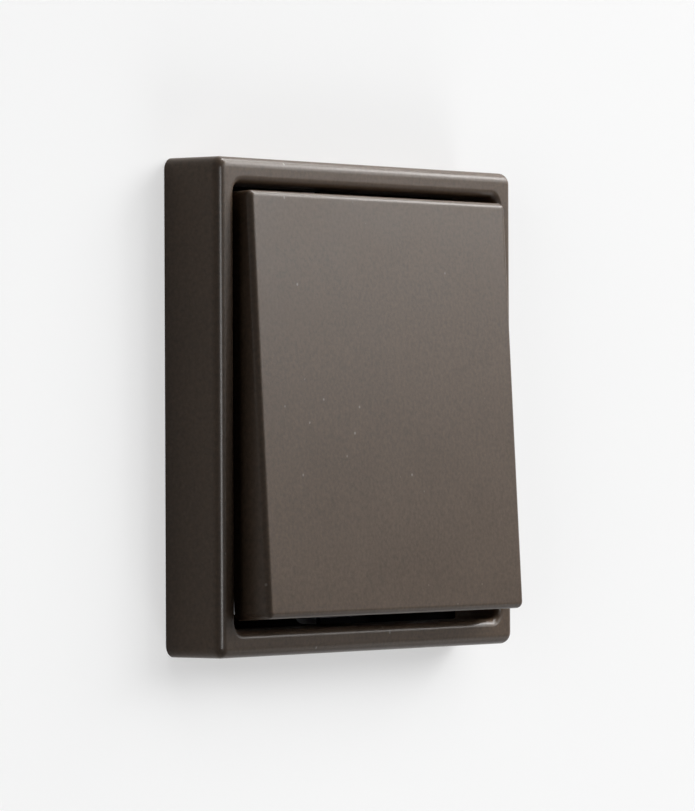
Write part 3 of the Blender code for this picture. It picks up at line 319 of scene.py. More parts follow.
def paint_shade_on_lugs(material):
    """Paint shade onto a finish: dull dark paint in front of the painted shade's depth."""
    tree = material.node_tree
    shader = tree.nodes["Principled BSDF"]
    place = add(tree, "ShaderNodeTexCoord").outputs["Object"]
    along = add(tree, "ShaderNodeSeparateXYZ", {"Vector": place})
    paint = add(tree, "ShaderNodeMapRange", {"Value": along.outputs["Y"], "From Max": PAINTED_SHADE_DEPTH,
                                             "From Min": PAINTED_SHADE_DEPTH + PAINTED_SHADE_FADE}).outputs["Result"]
    bare = add(tree, "ShaderNodeMath", {0: 1.0, 1: paint}, operation="SUBTRACT")
    tree.links.new(bare.outputs[0], shader.inputs["Metallic"])
    plating = shader.inputs["Base Color"].links[0].from_socket
    tree.links.new(mixed_colour(tree, paint, plating, PAINTED_SHADE_COLOUR), shader.inputs["Base Color"])
    rough = add(tree, "ShaderNodeMix", {"Factor": paint, "B": PAINTED_SHADE_ROUGHNESS,
                                        "A": shader.inputs["Roughness"].links[0].from_socket})
    tree.links.new(rough.outputs["Result"], shader.inputs["Roughness"])


# The ring's zinc plating, with painted shade on the front of its lugs.
RING = finish("zinc_plating_with_painted_shade_on_lugs", ZINC_DARK, ZINC_LIGHT, roughness=0.30,
              size=0.0005, bump=0.000004, metallic=1.0, specular=0.05, rough_range=0.08)
paint_shade_on_lugs(RING)
print(f"{RING.name}: painted in front of Y = {PAINTED_SHADE_DEPTH * 1000:.1f} mm")

# %% [markdown]
# ## Mesh helpers
# The cover's two big mouldings are lofts: closed loops of points, skinned one after the other.
# A loop is a rectangle with rounded corners, and its inset and depth change from loop to loop,
# which rounds the edges. An extra loop close to each rounding keeps the flat faces flat when
# they are shaded smooth.

# %% Mesh helpers
CORNER_STEPS = 14
EDGE_STEPS = 12
SHARP_ANGLE = math.radians(32)


def rounded_loop(width, height, radius, y):
    """An upright rectangle with rounded corners at depth y."""
    points = []
    for quarter in range(4):
        corner_x = (width / 2 - radius) * (1 if quarter in (0, 3) else -1)
        corner_z = (height / 2 - radius) * (1 if quarter in (0, 1) else -1)
        for step in range(CORNER_STEPS + 1):
            angle = math.pi / 2 * (quarter + step / CORNER_STEPS)
            points.append(Vector((corner_x + radius * math.cos(angle), y,
                                  corner_z + radius * math.sin(angle))))
    return points


def quarter_round(centre_in, centre_y, radius, first, last):
    """(inset, depth) points of a rounded edge, from one angle in degrees to another."""
    for step in range(EDGE_STEPS + 1):
        angle = math.radians(first + (last - first) * step / EDGE_STEPS)
        yield centre_in + radius * math.cos(angle), centre_y + radius * math.sin(angle)


def as_mesh(bm, name):
    """Turn a finished bmesh into a mesh with its faces pointing out."""
    bmesh.ops.recalc_face_normals(bm, faces=bm.faces)
    mesh = bpy.data.meshes.new(name)
    bm.to_mesh(mesh)
    bm.free()
    return mesh


def loft(name, loops, closed=False):
    """Skin loops one after the other; an open loft is capped at both ends."""
    bm = bmesh.new()
    rings = [[bm.verts.new(point) for point in loop] for loop in loops]
    if not closed:
        bm.faces.new(rings[0])
        bm.faces.new(rings[-1])
    followers = rings[1:] + rings[:1] if closed else rings[1:]
    for ring, follower in zip(rings, followers):
        for i, vertex in enumerate(ring):
            bm.faces.new((ring[i - 1], vertex, follower[i], follower[i - 1]))
    return as_mesh(bm, name)


def prism(name, outline, direction):
    """Extrude a flat outline along a direction."""
    far = [Vector(point) + Vector(direction) for point in outline]
    return loft(name, [[Vector(point) for point in outline], far])


def block(name, low, high):
    """A box between two opposite corners."""
    (x1, y1, z1), (x2, y2, z2) = low, high
    return loft(name, [[(x1, y, z1), (x2, y, z1), (x2, y, z2), (x1, y, z2)] for y in (y1, y2)])


def new_piece(name, mesh, material):
    """Put a mesh into the scene as a smooth-shaded object with one material."""
    piece = bpy.data.objects.new(name, mesh)
    bpy.context.scene.collection.objects.link(piece)
    mesh.name = name
    mesh.materials.clear()
    mesh.materials.append(material)
    mesh.shade_smooth()
    mesh.set_sharp_from_angle(angle=SHARP_ANGLE)
    return piece


def bake_modifiers(piece):
    """Replace an object's mesh by what its modifiers make of it, and remove them."""
    bpy.context.view_layer.update()
    result = piece.evaluated_get(bpy.context.evaluated_depsgraph_get())
    mesh = bpy.data.meshes.new_from_object(result)
    piece.modifiers.clear()
    piece.data = mesh
    mesh.name = piece.name
    return piece


def combine(piece, meshes, operation="UNION"):
    """Join closed shells to a piece, or cut them out of it, in one Boolean step."""
    tools = bpy.data.collections.new("tools")
    bpy.context.scene.collection.children.link(tools)
    for mesh in meshes:
        tools.objects.link(bpy.data.objects.new("tool", mesh))
    change = piece.modifiers.new("combine", "BOOLEAN")
    change.operation = operation
    change.solver = "EXACT"
    change.operand_type = "COLLECTION"
    change.collection = tools
    bake_modifiers(piece)
    for tool in list(tools.objects):
        bpy.data.objects.remove(tool, do_unlink=True)
    bpy.data.collections.remove(tools)
    return piece


def finished(piece, body, slot, *nodes):
    """Let a piece ride on a body, in place of CAD nodes; the slot argument is not used."""
    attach(piece, body)
    if nodes:
        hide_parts(*nodes)
    triangles = sum(len(face.vertices) - 2 for face in piece.data.polygons)
    print(f"{piece.name}: {triangles} triangles on {body}")
    return piece


SIDES = (-1, 1)

# %% [markdown]
# ## Repeats with Geometry Nodes
# Ribs and nibs repeat along the four sides of the frame, rivets stand in a rectangle, and the
# spring's wire and the screw's thread both follow a helix. Each of these rules is a small node
# tree with named sizes. Running one is always the same: set its inputs by their identifiers,
# evaluate the object once, and keep the result as a plain mesh.

# %% Running a node tree
def with_nodes(piece, tree, values):
    """Run a geometry node tree on a piece with named inputs, and keep the result."""
    change = piece.modifiers.new(tree.name, "NODES")
    change.node_group = tree
    for socket in tree.interface.items_tree:
        if socket.in_out == "INPUT" and socket.name in values:
            change[socket.identifier] = values[socket.name]
    return bake_modifiers(piece)


def end_tree(tree, end, geometry):
    """Finish a tree: realise the instances and give the result its material."""
    start = next(node for node in tree.nodes if node.bl_idname == "NodeGroupInput")
    real = add(tree, "GeometryNodeRealizeInstances", {"Geometry": geometry})
    painted = add(tree, "GeometryNodeSetMaterial", {"Geometry": real.outputs[0],
                                                    "Material": start.outputs["Material"]})
    tree.links.new(painted.outputs[0], end.inputs["Geometry"])


# %% Rows round the frame
rows, start, end = new_group(
    "rows_round_frame", "GeometryNodeTree",
    [("Geometry", GEOMETRY, None), ("Count", INTEGER, 3), ("Pitch", FLOAT, 0.019), ("Sides", INTEGER, 4),
     ("Material", MATERIAL, None)], [("Geometry", GEOMETRY)])
gaps = add(rows, "ShaderNodeMath", {0: start.outputs["Count"], 1: 1.0}, operation="SUBTRACT")
run = add(rows, "ShaderNodeMath", {0: gaps.outputs[0], 1: start.outputs["Pitch"]}, operation="MULTIPLY")
first = add(rows, "ShaderNodeMath", {0: run.outputs[0], 1: -0.5}, operation="MULTIPLY")
row = add(rows, "GeometryNodeMeshLine", {
    "Count": start.outputs["Count"],
    "Start Location": add(rows, "ShaderNodeCombineXYZ", {"X": first.outputs[0]}).outputs[0],
    "Offset": add(rows, "ShaderNodeCombineXYZ", {"X": start.outputs["Pitch"]}).outputs[0]}, mode="OFFSET")
one_side = add(rows, "GeometryNodeInstanceOnPoints", {"Points": row.outputs["Mesh"],
                                                      "Instance": start.outputs["Geometry"]})
one_side = add(rows, "GeometryNodeRealizeInstances", {"Geometry": one_side.outputs["Instances"]})
step = add(rows, "ShaderNodeMath", {0: 2 * math.pi, 1: start.outputs["Sides"]}, operation="DIVIDE")
side_number = add(rows, "GeometryNodeInputIndex").outputs[0]
angle = add(rows, "ShaderNodeMath", {0: side_number, 1: step.outputs[0]}, operation="MULTIPLY")
turned_by = add(rows, "FunctionNodeEulerToRotation", {
    "Euler": add(rows, "ShaderNodeCombineXYZ", {"Y": angle.outputs[0]}).outputs[0]})
centre = add(rows, "GeometryNodeMeshLine", {"Count": start.outputs["Sides"], "Offset": (0.0, 0.0, 0.0)},
             mode="OFFSET")
all_sides = add(rows, "GeometryNodeInstanceOnPoints", {
    "Points": centre.outputs["Mesh"], "Instance": one_side.outputs[0], "Rotation": turned_by.outputs[0]})
end_tree(rows, end, all_sides.outputs["Instances"])
print("inputs:", [socket.name for socket in rows.interface.items_tree if socket.in_out == "INPUT"])

# %% [markdown]
# ## Cover frame
# The cover frame is one moulding with a U-shaped section that opens to the wall. Its section
# runs from the wall up the outer face, over a rounded front edge, along the narrow front band
# and over a second rounding into the opening. The loops go once round that section, so the
# result is one closed ring. The CAD box gives the outer size.

# %% Cover frame
frame_low, frame_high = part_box("cover_frame")
FRAME_SIDE = frame_high.x - frame_low.x
FRAME_FRONT = frame_low.y
FRAME_BAND = 0.00425
FRAME_CORNER = 0.0020
FRAME_EDGE = 0.00165
FRAME_WALL = 0.0016
FRAME_INNER_WALL = 0.0012
FRAME_FRONT_WALL = 0.0020
GROOVE_CORNER = 0.0003
OPENING_CORNER = 0.0017
OPENING_EDGE = 0.00125
SKIRT_END = -0.0026
SUPPORT = 0.0001


def frame_loop(inset, corner, y):
    """A loop that follows the frame's outside, moved in by an inset."""
    return rounded_loop(FRAME_SIDE - 2 * inset, FRAME_SIDE - 2 * inset, corner, y)


def opening_loop(inset, y):
    """A loop whose corners follow the rounding of the opening."""
    return frame_loop(inset, OPENING_CORNER + FRAME_BAND - inset, y)


groove_in = FRAME_BAND - FRAME_INNER_WALL
groove_floor = FRAME_FRONT + FRAME_FRONT_WALL
edge_y = FRAME_FRONT + FRAME_EDGE
loops = [frame_loop(0, FRAME_CORNER, y) for y in (0, -SUPPORT, edge_y + SUPPORT)]
for inset, y in quarter_round(FRAME_EDGE, edge_y, FRAME_EDGE, 180, 270):
    loops.append(frame_loop(inset, FRAME_CORNER - inset, y))
loops.append(frame_loop(FRAME_EDGE + SUPPORT, FRAME_CORNER - FRAME_EDGE - SUPPORT, FRAME_FRONT))
loops.append(opening_loop(FRAME_BAND - OPENING_EDGE - SUPPORT, FRAME_FRONT))
for inset, y in quarter_round(FRAME_BAND - OPENING_EDGE, FRAME_FRONT + OPENING_EDGE, OPENING_EDGE,
                              270, 360):
    loops.append(opening_loop(inset, y))
loops.append(opening_loop(FRAME_BAND, FRAME_FRONT + OPENING_EDGE + SUPPORT))
loops += [opening_loop(FRAME_BAND, SKIRT_END), opening_loop(groove_in, SKIRT_END)]
loops.append(opening_loop(groove_in, groove_floor))
loops.append(frame_loop(FRAME_WALL, GROOVE_CORNER, groove_floor))
loops.append(frame_loop(FRAME_WALL, GROOVE_CORNER, 0))
cover = new_piece("frame_moulding", loft("frame_moulding", loops, closed=True), LACQUER)
print(f"frame {FRAME_SIDE * 1000:.1f} mm square, {-FRAME_FRONT * 1000:.1f} mm deep, {len(loops)} loops")

# %% [markdown]
# Inside the groove, thin ribs stiffen the two walls, and on the inner wall sit the nibs that
# snap into the tabs of the support ring. One rib and one nib are modelled for the upper side,
# and the node tree sets three ribs and one nib along each of the four sides.

# %% Ribs and nibs of the frame
FRAME_RIB = 0.0010
FRAME_RIB_PITCH = 0.0190
FRAME_RIB_HEIGHT = 0.0060
NIB_WIDTH = 0.0070
NIB_REACH = 0.0007
NIB_HEIGHT = 0.0015
NIB_SEAT = 0.0029
bite = FRAME_INNER_WALL / 2
face = FRAME_SIDE / 2 - FRAME_BAND
rib = block("rib", (-FRAME_RIB / 2, groove_floor - bite, FRAME_SIDE / 2 - groove_in - bite),
            (FRAME_RIB / 2, groove_floor + FRAME_RIB_HEIGHT, FRAME_SIDE / 2 - FRAME_WALL + bite))
slope = NIB_HEIGHT / 4
section = [(-NIB_SEAT, face + bite), (-NIB_SEAT, face), (-NIB_SEAT - slope, face - NIB_REACH),
           (-NIB_SEAT - NIB_HEIGHT + slope, face - NIB_REACH),
           (-NIB_SEAT - NIB_HEIGHT, face), (-NIB_SEAT - NIB_HEIGHT, face + bite)]
nib = prism("nib", [(-NIB_WIDTH / 2, y, z) for y, z in section], (NIB_WIDTH, 0, 0))
repeats = []
for mesh, count in ((rib, 3), (nib, 1)):
    row_piece = with_nodes(new_piece("row", mesh, LACQUER), rows,
                           {"Count": count, "Pitch": FRAME_RIB_PITCH, "Sides": 4, "Material": LACQUER})
    repeats.append(row_piece.data)
    bpy.data.objects.remove(row_piece)
combine(cover, repeats)
finished(cover, "insert", "brown_lacquer", "cover_frame")

# %% [markdown]
# ## Rocker
# The rocker is a shallow shell with a small rounding all round its front. It is modelled square
# to its own pivot and then turned by the tilt that it has at rest, with its upper edge pressed
# in. Behind the front are three ribs and four hooks that grip the toggle, as in the CAD model.

# %% Rocker
PIVOT = Vector((0.0, -0.0060, 0.0))
REST_TILT = math.radians(3.1)
ROCKER_GAP = 0.00095
ROCKER_SHORT = 0.0012
ROCKER_FRONT = -0.00955
ROCKER_SKIRT = 0.0072
ROCKER_WALL = 0.0018
ROCKER_FRONT_WALL = 0.0022
ROCKER_EDGE = 0.0010
ROCKER_CORNER = 0.0012
ROCKER_INNER_CORNER = 0.0003
ROCKER_RIB = 0.0012
ROCKER_RIB_SPREAD = 0.0360
TOGGLE_FRONT = 0.0056
TOGGLE_WALL = 0.0030
TOGGLE_HEIGHT = 0.0120
SEAT_GAP = 0.0003
HOOK_WIDTH = 0.0050
HOOK_WALL = 0.0014
HOOK_REACH = 0.0009
HOOK_NOSE = 0.0012
HOOK_SPREAD = 0.0150
AT_REST = Matrix.Translation(PIVOT) @ Matrix.Rotation(-REST_TILT, 4, "X")

rocker_width = FRAME_SIDE - 2 * FRAME_BAND - 2 * ROCKER_GAP
rocker_height = rocker_width - ROCKER_SHORT


def rocker_loop(inset, corner, y):
    """A loop that follows the rocker's outside, moved in by an inset."""
    return rounded_loop(rocker_width - 2 * inset, rocker_height - 2 * inset, corner, y)


inside = ROCKER_FRONT + ROCKER_FRONT_WALL
skirt_end = ROCKER_FRONT + ROCKER_SKIRT
edge_y = ROCKER_FRONT + ROCKER_EDGE
loops = [rocker_loop(ROCKER_WALL, ROCKER_INNER_CORNER, y) for y in (inside, skirt_end)]
loops += [rocker_loop(0, ROCKER_CORNER, y) for y in (skirt_end, edge_y + SUPPORT)]
for inset, y in quarter_round(ROCKER_EDGE, edge_y, ROCKER_EDGE, 180, 270):
    loops.append(rocker_loop(inset, ROCKER_CORNER - inset, y))
loops.append(rocker_loop(ROCKER_EDGE + SUPPORT, ROCKER_CORNER - ROCKER_EDGE - SUPPORT, ROCKER_FRONT))
cap = new_piece("rocker_cap", loft("rocker_cap", loops), LACQUER)

bite = ROCKER_FRONT_WALL / 2
rib_end = -(TOGGLE_FRONT + SEAT_GAP)
half_width = rocker_width / 2 - ROCKER_WALL / 2
half_height = rocker_height / 2 - ROCKER_WALL / 2
shells = [block("rib", (-half_width, inside - bite, -ROCKER_RIB / 2),
                (half_width, rib_end, ROCKER_RIB / 2))]
for side in SIDES:
    middle = side * ROCKER_RIB_SPREAD / 2
    shells.append(block("rib", (middle - ROCKER_RIB / 2, inside - bite / 2, -half_height),
                        (middle + ROCKER_RIB / 2, rib_end - SEAT_GAP, half_height)))
grip = -TOGGLE_FRONT + TOGGLE_WALL + SEAT_GAP
leg = TOGGLE_HEIGHT / 2 + SEAT_GAP
catch = TOGGLE_HEIGHT / 2 - HOOK_REACH
hook_end = grip + HOOK_NOSE
hook = [(inside - bite, leg), (inside - bite, leg + HOOK_WALL), (hook_end, leg + HOOK_WALL),
        (hook_end, leg), (grip + HOOK_NOSE / 3, catch), (grip, catch), (grip, leg)]
for side in SIDES:
    low = side * HOOK_SPREAD / 2 - HOOK_WIDTH / 2
    for up_side in SIDES:
        outline = [(low, y, up_side * z) for y, z in hook]
        shells.append(prism("hook", outline, (HOOK_WIDTH, 0, 0)))
combine(cap, shells)
cap.data.transform(AT_REST)
finished(cap, "rocker", "brown_lacquer", "rocker")

# %% [markdown]
# ## Turned pieces
# Rivets, screws and the plunger are turned parts: a profile of radius and distance, revolved
# round the Y axis. The plunger is turned once more by the rocker's tilt, because it slides in
# the toggle's stem.

# %% Plunger
DOME_STEPS = 8
DOME_TURN = 0.97


def turned(name, profile, sides=48):
    """Revolve (radius, distance) points round the Y axis."""
    loops = []
    for radius, distance in profile:
        angles = [2 * math.pi * i / sides for i in range(sides)]
        loops.append([Vector((radius * math.cos(a), distance, radius * math.sin(a))) for a in angles])
    return loft(name, loops)


def dome(radius, height, base):
    """(radius, distance) points of a domed top, from just beside its middle to its base."""
    for step in range(DOME_STEPS):
        angle = math.pi / 2 * (1 - step / DOME_STEPS) * DOME_TURN
        yield radius * math.cos(angle), base - height * math.sin(angle)
    yield radius, base


SPRING_LENGTH = 0.0054
SPRING_SEAT = 0.0016
PLUNGER_RADIUS = 0.0023
PLUNGER_BODY = 0.0058
PLUNGER_NECK = 0.0010
PLUNGER_NOSE = 0.0015
PLUNGER_PEG_RADIUS = 0.0009
PLUNGER_PEG = 0.0016
CHAMFER = 0.00015
back = SPRING_LENGTH + 2 * SEAT_GAP - SPRING_SEAT
shoulder = back + PLUNGER_BODY
cone_end = shoulder + PLUNGER_RADIUS - PLUNGER_NOSE
profile = [(PLUNGER_PEG_RADIUS - CHAMFER, back - PLUNGER_PEG),
           (PLUNGER_PEG_RADIUS, back - PLUNGER_PEG + CHAMFER), (PLUNGER_PEG_RADIUS, back),
           (PLUNGER_RADIUS - CHAMFER, back), (PLUNGER_RADIUS, back + CHAMFER),
           (PLUNGER_RADIUS, shoulder), (PLUNGER_NOSE, cone_end)]
nose = [(r, -y) for r, y in dome(PLUNGER_NOSE, PLUNGER_NOSE, -(cone_end + PLUNGER_NECK))]
pin = new_piece("plunger_pin", turned("plunger_pin", profile + nose[::-1]), NYLON)
pin.data.transform(AT_REST)
finished(pin, "plunger", "white_nylon", "plunger")

# %% [markdown]
# ## Rivets
# Four domed rivets hold the support ring, the bearing cover and the base together. One rivet is
# turned, and a tree sets it on the four points of a grid with two rows.

# %% Rivets
corners, start, end = new_group(
    "on_four_corners", "GeometryNodeTree",
    [("Geometry", GEOMETRY, None), ("Width", FLOAT, 0.03), ("Height", FLOAT, 0.02),
     ("Material", MATERIAL, None)], [("Geometry", GEOMETRY)])
grid = add(corners, "GeometryNodeMeshGrid", {
    "Size X": start.outputs["Width"], "Size Y": start.outputs["Height"],
    "Vertices X": 2, "Vertices Y": 2})
stood = add(corners, "GeometryNodeTransform", {"Geometry": grid.outputs["Mesh"],
                                               "Rotation": (math.pi / 2, 0.0, 0.0)})
set_out = add(corners, "GeometryNodeInstanceOnPoints", {"Points": stood.outputs[0],
                                                        "Instance": start.outputs["Geometry"]})
end_tree(corners, end, set_out.outputs["Instances"])

RING_SEAT = -0.0013
RIVET_RADIUS = 0.0011
RIVET_HEAD_RADIUS = 0.0021
RIVET_HEAD = 0.0009
RIVET_CROWN = 0.75
RIVET_LENGTH = 0.0085
RIVET_SIDES = 40
rivet_low, rivet_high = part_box("ring_rivet_1")
rivet_spread = [abs(rivet_low.x + rivet_high.x), abs(rivet_low.z + rivet_high.z)]
head_base = RING_SEAT - RIVET_HEAD * (1 - RIVET_CROWN)
profile = list(dome(RIVET_HEAD_RADIUS, RIVET_HEAD * RIVET_CROWN, head_base))
profile += [(RIVET_HEAD_RADIUS, RING_SEAT), (RIVET_RADIUS, RING_SEAT),
            (RIVET_RADIUS, RING_SEAT + RIVET_LENGTH)]
rivets = new_piece("ring_rivets", turned("ring_rivets", profile, RIVET_SIDES), ZINC)
with_nodes(rivets, corners, {"Width": rivet_spread[0], "Height": rivet_spread[1], "Material": ZINC})
finished(rivets, "insert", "zinc_plated_steel", *[f"ring_rivet_{i}" for i in range(1, 5)])

# %% [markdown]
# ## Coil spring and screw threads
# A helix makes both. For the spring a round wire follows it. For a thread the wire is replaced
# by a square on its corner, half sunk into the shank, so that the outer corner is the crest of
# a V-shaped thread.

# %% Helix tree
WIRE_ANGLE = math.radians(40)

helix, start, end = new_group(
    "helix", "GeometryNodeTree",
    [("Geometry", GEOMETRY, None), ("Turns", FLOAT, 4.5), ("Radius", FLOAT, 0.0017),
     ("Length", FLOAT, 0.005), ("Wire Radius", FLOAT, 0.00025), ("Wire Sides", INTEGER, 12),
     ("Steps", INTEGER, 24), ("Material", MATERIAL, None)], [("Geometry", GEOMETRY)])
path = add(helix, "GeometryNodeCurveSpiral", {
    "Resolution": start.outputs["Steps"], "Rotations": start.outputs["Turns"],
    "Start Radius": start.outputs["Radius"], "End Radius": start.outputs["Radius"],
    "Height": start.outputs["Length"]})
upright_path = add(helix, "GeometryNodeSetCurveNormal", {"Curve": path.outputs["Curve"]}, mode="Z_UP")
wire = add(helix, "GeometryNodeCurvePrimitiveCircle", {
    "Resolution": start.outputs["Wire Sides"], "Radius": start.outputs["Wire Radius"]}, mode="RADIUS")
tube = add(helix, "GeometryNodeCurveToMesh", {
    "Curve": upright_path.outputs["Curve"], "Profile Curve": wire.outputs["Curve"], "Fill Caps": True})
along_y = add(helix, "GeometryNodeTransform", {"Geometry": tube.outputs["Mesh"],
                                               "Rotation": (-math.pi / 2, 0.0, 0.0)})
end_tree(helix, end, along_y.outputs[0])


def wound(name, material, **sizes):
    """A helix along Y from the origin, as an object with a plain mesh."""
    values = {label.replace("_", " ").title(): value for label, value in sizes.items()}
    piece = new_piece(name, bpy.data.meshes.new(name), material)
    with_nodes(piece, helix, {**values, "Material": material})
    piece.data.shade_smooth()
    piece.data.set_sharp_from_angle(angle=WIRE_ANGLE)
    return piece


print("helix inputs:", [item.name for item in helix.interface.items_tree if item.in_out == "INPUT"])

# %% Plunger spring
SPRING_RADIUS = 0.0017
SPRING_WIRE = 0.0005
SPRING_TURNS = 4.5
spring = wound("plunger_coil", SPRING_STEEL, turns=SPRING_TURNS, radius=SPRING_RADIUS,
               length=SPRING_LENGTH - SPRING_WIRE, wire_radius=SPRING_WIRE / 2)
spring_start = -SPRING_SEAT + SEAT_GAP + SPRING_WIRE / 2
spring.data.transform(AT_REST @ Matrix.Translation((0, spring_start, 0)))
finished(spring, "rocker", "spring_steel", "plunger_spring")
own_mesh(spring)

# %% Claw screws
SCREW_RADIUS = 0.0015
SCREW_HEAD_RADIUS = 0.0029
SCREW_HEAD = 0.0019
SCREW_LENGTH = 0.0255
SCREW_SLOT = 0.0008
SCREW_TOP = 0.68
SCREW_CROWN = 0.45
SCREW_STEPS = 8
THREAD_PITCH = 0.0005
head_top = RING_SEAT - SCREW_HEAD
core_radius = SCREW_RADIUS - THREAD_PITCH / 2
screw_end = RING_SEAT + SCREW_LENGTH
profile = []
for step in range(SCREW_STEPS + 1):
    angle = math.pi / 2 * step / SCREW_STEPS
    profile.append((SCREW_HEAD_RADIUS * (SCREW_TOP + (1 - SCREW_TOP) * math.sin(angle)),
                    head_top + SCREW_HEAD * SCREW_CROWN * (1 - math.cos(angle))))
profile += [(SCREW_HEAD_RADIUS, RING_SEAT - CHAMFER), (SCREW_HEAD_RADIUS - CHAMFER, RING_SEAT),
            (core_radius, RING_SEAT), (core_radius, screw_end - core_radius / 2),
            (core_radius / 2, screw_end)]
for hand in ("left", "right"):
    low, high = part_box(f"claw_screw_{hand}")
    screw = new_piece(f"claw_screw_{hand}_cut", turned("screw", profile), ZINC)
    slot = block("slot", (-2 * SCREW_HEAD_RADIUS, head_top - SCREW_HEAD, -SCREW_SLOT / 2),
                 (2 * SCREW_HEAD_RADIUS, head_top + SCREW_HEAD / 2, SCREW_SLOT / 2))
    combine(screw, [slot], "DIFFERENCE")
    run = screw_end - core_radius - RING_SEAT - 2 * THREAD_PITCH
    thread = wound("thread", ZINC, turns=run / THREAD_PITCH, radius=core_radius, length=run,
                   wire_radius=THREAD_PITCH / 2, wire_sides=4)
    thread.data.transform(Matrix.Translation((0, RING_SEAT + 2 * THREAD_PITCH, 0)))
    both = bmesh.new()
    both.from_mesh(screw.data)
    both.from_mesh(thread.data)
    both.to_mesh(screw.data)
    both.free()
    bpy.data.objects.remove(thread)
    screw.data.shade_smooth()
    screw.data.set_sharp_from_angle(angle=SHARP_ANGLE)
    screw.data.transform(Matrix.Translation(((low.x + high.x) / 2, 0, (low.z + high.z) / 2)))
    finished(screw, f"claw_screw_{hand}", "zinc_plated_steel", f"claw_screw_{hand}")

# %% [markdown]
# ## Moulded and stamped pieces
# The other pieces keep the shape of the CAD model, but nothing real has edges without a radius.
# A copy of a node's mesh is merged, its flat triangles are dissolved into whole faces, and a
# bevel rounds what is sharp. The normals are then weighted by the size of the faces, so that big
# flat faces shade evenly.

# %% Softened copies
MERGE_DISTANCE = 1e-6
FLAT_ANGLE = math.radians(0.5)
SOFT_ANGLE = math.radians(50)
BEVEL_SEGMENTS = 2
FACE_WEIGHT = 100


def softened(node, edge, material, slot):
    """A copy of a CAD node with its sharp edges rounded, riding where the node rides."""
    bm = bmesh.new()
    bm.from_mesh(frame["nodes"][node].data)
    bmesh.ops.remove_doubles(bm, verts=bm.verts, dist=MERGE_DISTANCE)
    bmesh.ops.dissolve_limit(bm, angle_limit=FLAT_ANGLE, verts=bm.verts, edges=bm.edges)
    mesh = bpy.data.meshes.new(node)
    bm.to_mesh(mesh)
    bm.free()
    piece = new_piece(f"{node}_edged", mesh, material)
    bevel = piece.modifiers.new("edges", "BEVEL")
    bevel.width = edge
    bevel.segments = BEVEL_SEGMENTS
    bevel.limit_method = "ANGLE"
    bevel.angle_limit = SHARP_ANGLE
    bake_modifiers(piece)
    piece.data.shade_smooth()
    piece.data.set_sharp_from_angle(angle=SOFT_ANGLE)
    level = piece.modifiers.new("flat_faces", "WEIGHTED_NORMAL")
    level.keep_sharp = True
    level.weight = FACE_WEIGHT
    bake_modifiers(piece)
    return finished(piece, BODY_OF[node], slot, node)


# %% [markdown]
# How round an edge is depends on how the piece is made: a fifth of a millimetre on mouldings and
# nuts, half of that on bent steel, and still less on small tips and thin brass.

# %% Mouldings and stampings
MOULDED_EDGE = 0.0002
SHEET_EDGE = 0.0001
TIP_EDGE = 0.00008
STRIP_EDGE = 0.00006
for node in ("insert_base", "bearing_cover", "rear_cover"):
    softened(node, MOULDED_EDGE, THERMOSET, "grey_thermoset")
softened("toggle", MOULDED_EDGE, NYLON, "white_nylon")
softened("support_ring", SHEET_EDGE, RING, "zinc_plated_steel")
softened("contact_bridge", TIP_EDGE, BRASS, "brass")
softened("common_contact", STRIP_EDGE, BRASS, "brass")
for row_name in ("lower", "upper"):
    softened(f"throw_contact_{row_name}", STRIP_EDGE, BRASS, "brass")
    softened(f"bridge_tip_{row_name}", TIP_EDGE, SILVER, "contact_silver")
    softened(f"fixed_tip_{row_name}", TIP_EDGE, SILVER, "contact_silver")
    for hand in ("left", "right"):
        softened(f"release_lever_{row_name}_{hand}", MOULDED_EDGE, ORANGE, "orange_polyamide")
for hand in ("left", "right"):
    softened(f"claw_{hand}", SHEET_EDGE, ZINC, "zinc_plated_steel")
    softened(f"claw_nut_{hand}", MOULDED_EDGE, ZINC, "zinc_plated_steel")

# %% [markdown]
# ## Clamp springs
# A clamp spring is a bent leaf whose free leg gives way when its lever is pressed. In the scene each leaf
# is a softened copy of its CAD node, with a mesh of its own.

# %% Clamp springs
LEAF_EDGE = 0.00005
for up_side, row_name in zip(SIDES, ("lower", "upper")):
    for hand in ("left", "right"):
        place = f"{row_name}_{hand}"
        leaf = softened(f"clamp_spring_{place}", LEAF_EDGE, SPRING_STEEL, "spring_steel")
        low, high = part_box(f"clamp_spring_{place}")
        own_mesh(leaf)

# %% [markdown]
# ## Wall
# The wall is a plain white sheet on which the cover hangs. A square in its middle stands for the
# mouth of the wall box, so that it can have a material of its own.

# %% Wall
WALL_SIZE = 4.0
WALL_Y = -0.00005


def wall_square(half):
    """The corners of a square on the wall, from its half side."""
    return [(x * half, WALL_Y, z * half) for x, z in ((-1, -1), (1, -1), (1, 1), (-1, 1))]


wall_mesh = bpy.data.meshes.new("wall")
outside = wall_square(WALL_SIZE / 2)
covered = wall_square(FRAME_SIDE / 2 - FRAME_WALL / 2)
around = [(i, (i + 1) % 4, (i + 1) % 4 + 4, i + 4) for i in range(4)]
wall_mesh.from_pydata(outside + covered, [], around + [(4, 5, 6, 7)])
wall = bpy.data.objects.new("wall", wall_mesh)
bpy.context.scene.collection.objects.link(wall)
print("wall normal", tuple(round(v, 2) for v in wall_mesh.polygons[0].normal))

# %% [markdown]
# Both materials of the wall are seen only from its front: from behind they let every ray through, so that
# the insert can be looked at. What the camera and shiny surfaces see of the paint is mixed with plain
# white, which keeps the shadow but makes it soft. Behind the cover the sheet is painted dark, as painted
# shade for the hollow mouth of a wall box, but it lets a little light pass into the hollow of the frame.

# %% Wall paint and wall box
WALL_LIFT = 0.45
WALL_SEEN = 0.90
WALL_BOUNCE = 0.50
BOX_LEAK = 0.20
# Painted shade: the dark colour of the wall box's mouth behind the cover.
BOX_SHADE_COLOUR = (0.02, 0.02, 0.02, 1.0)


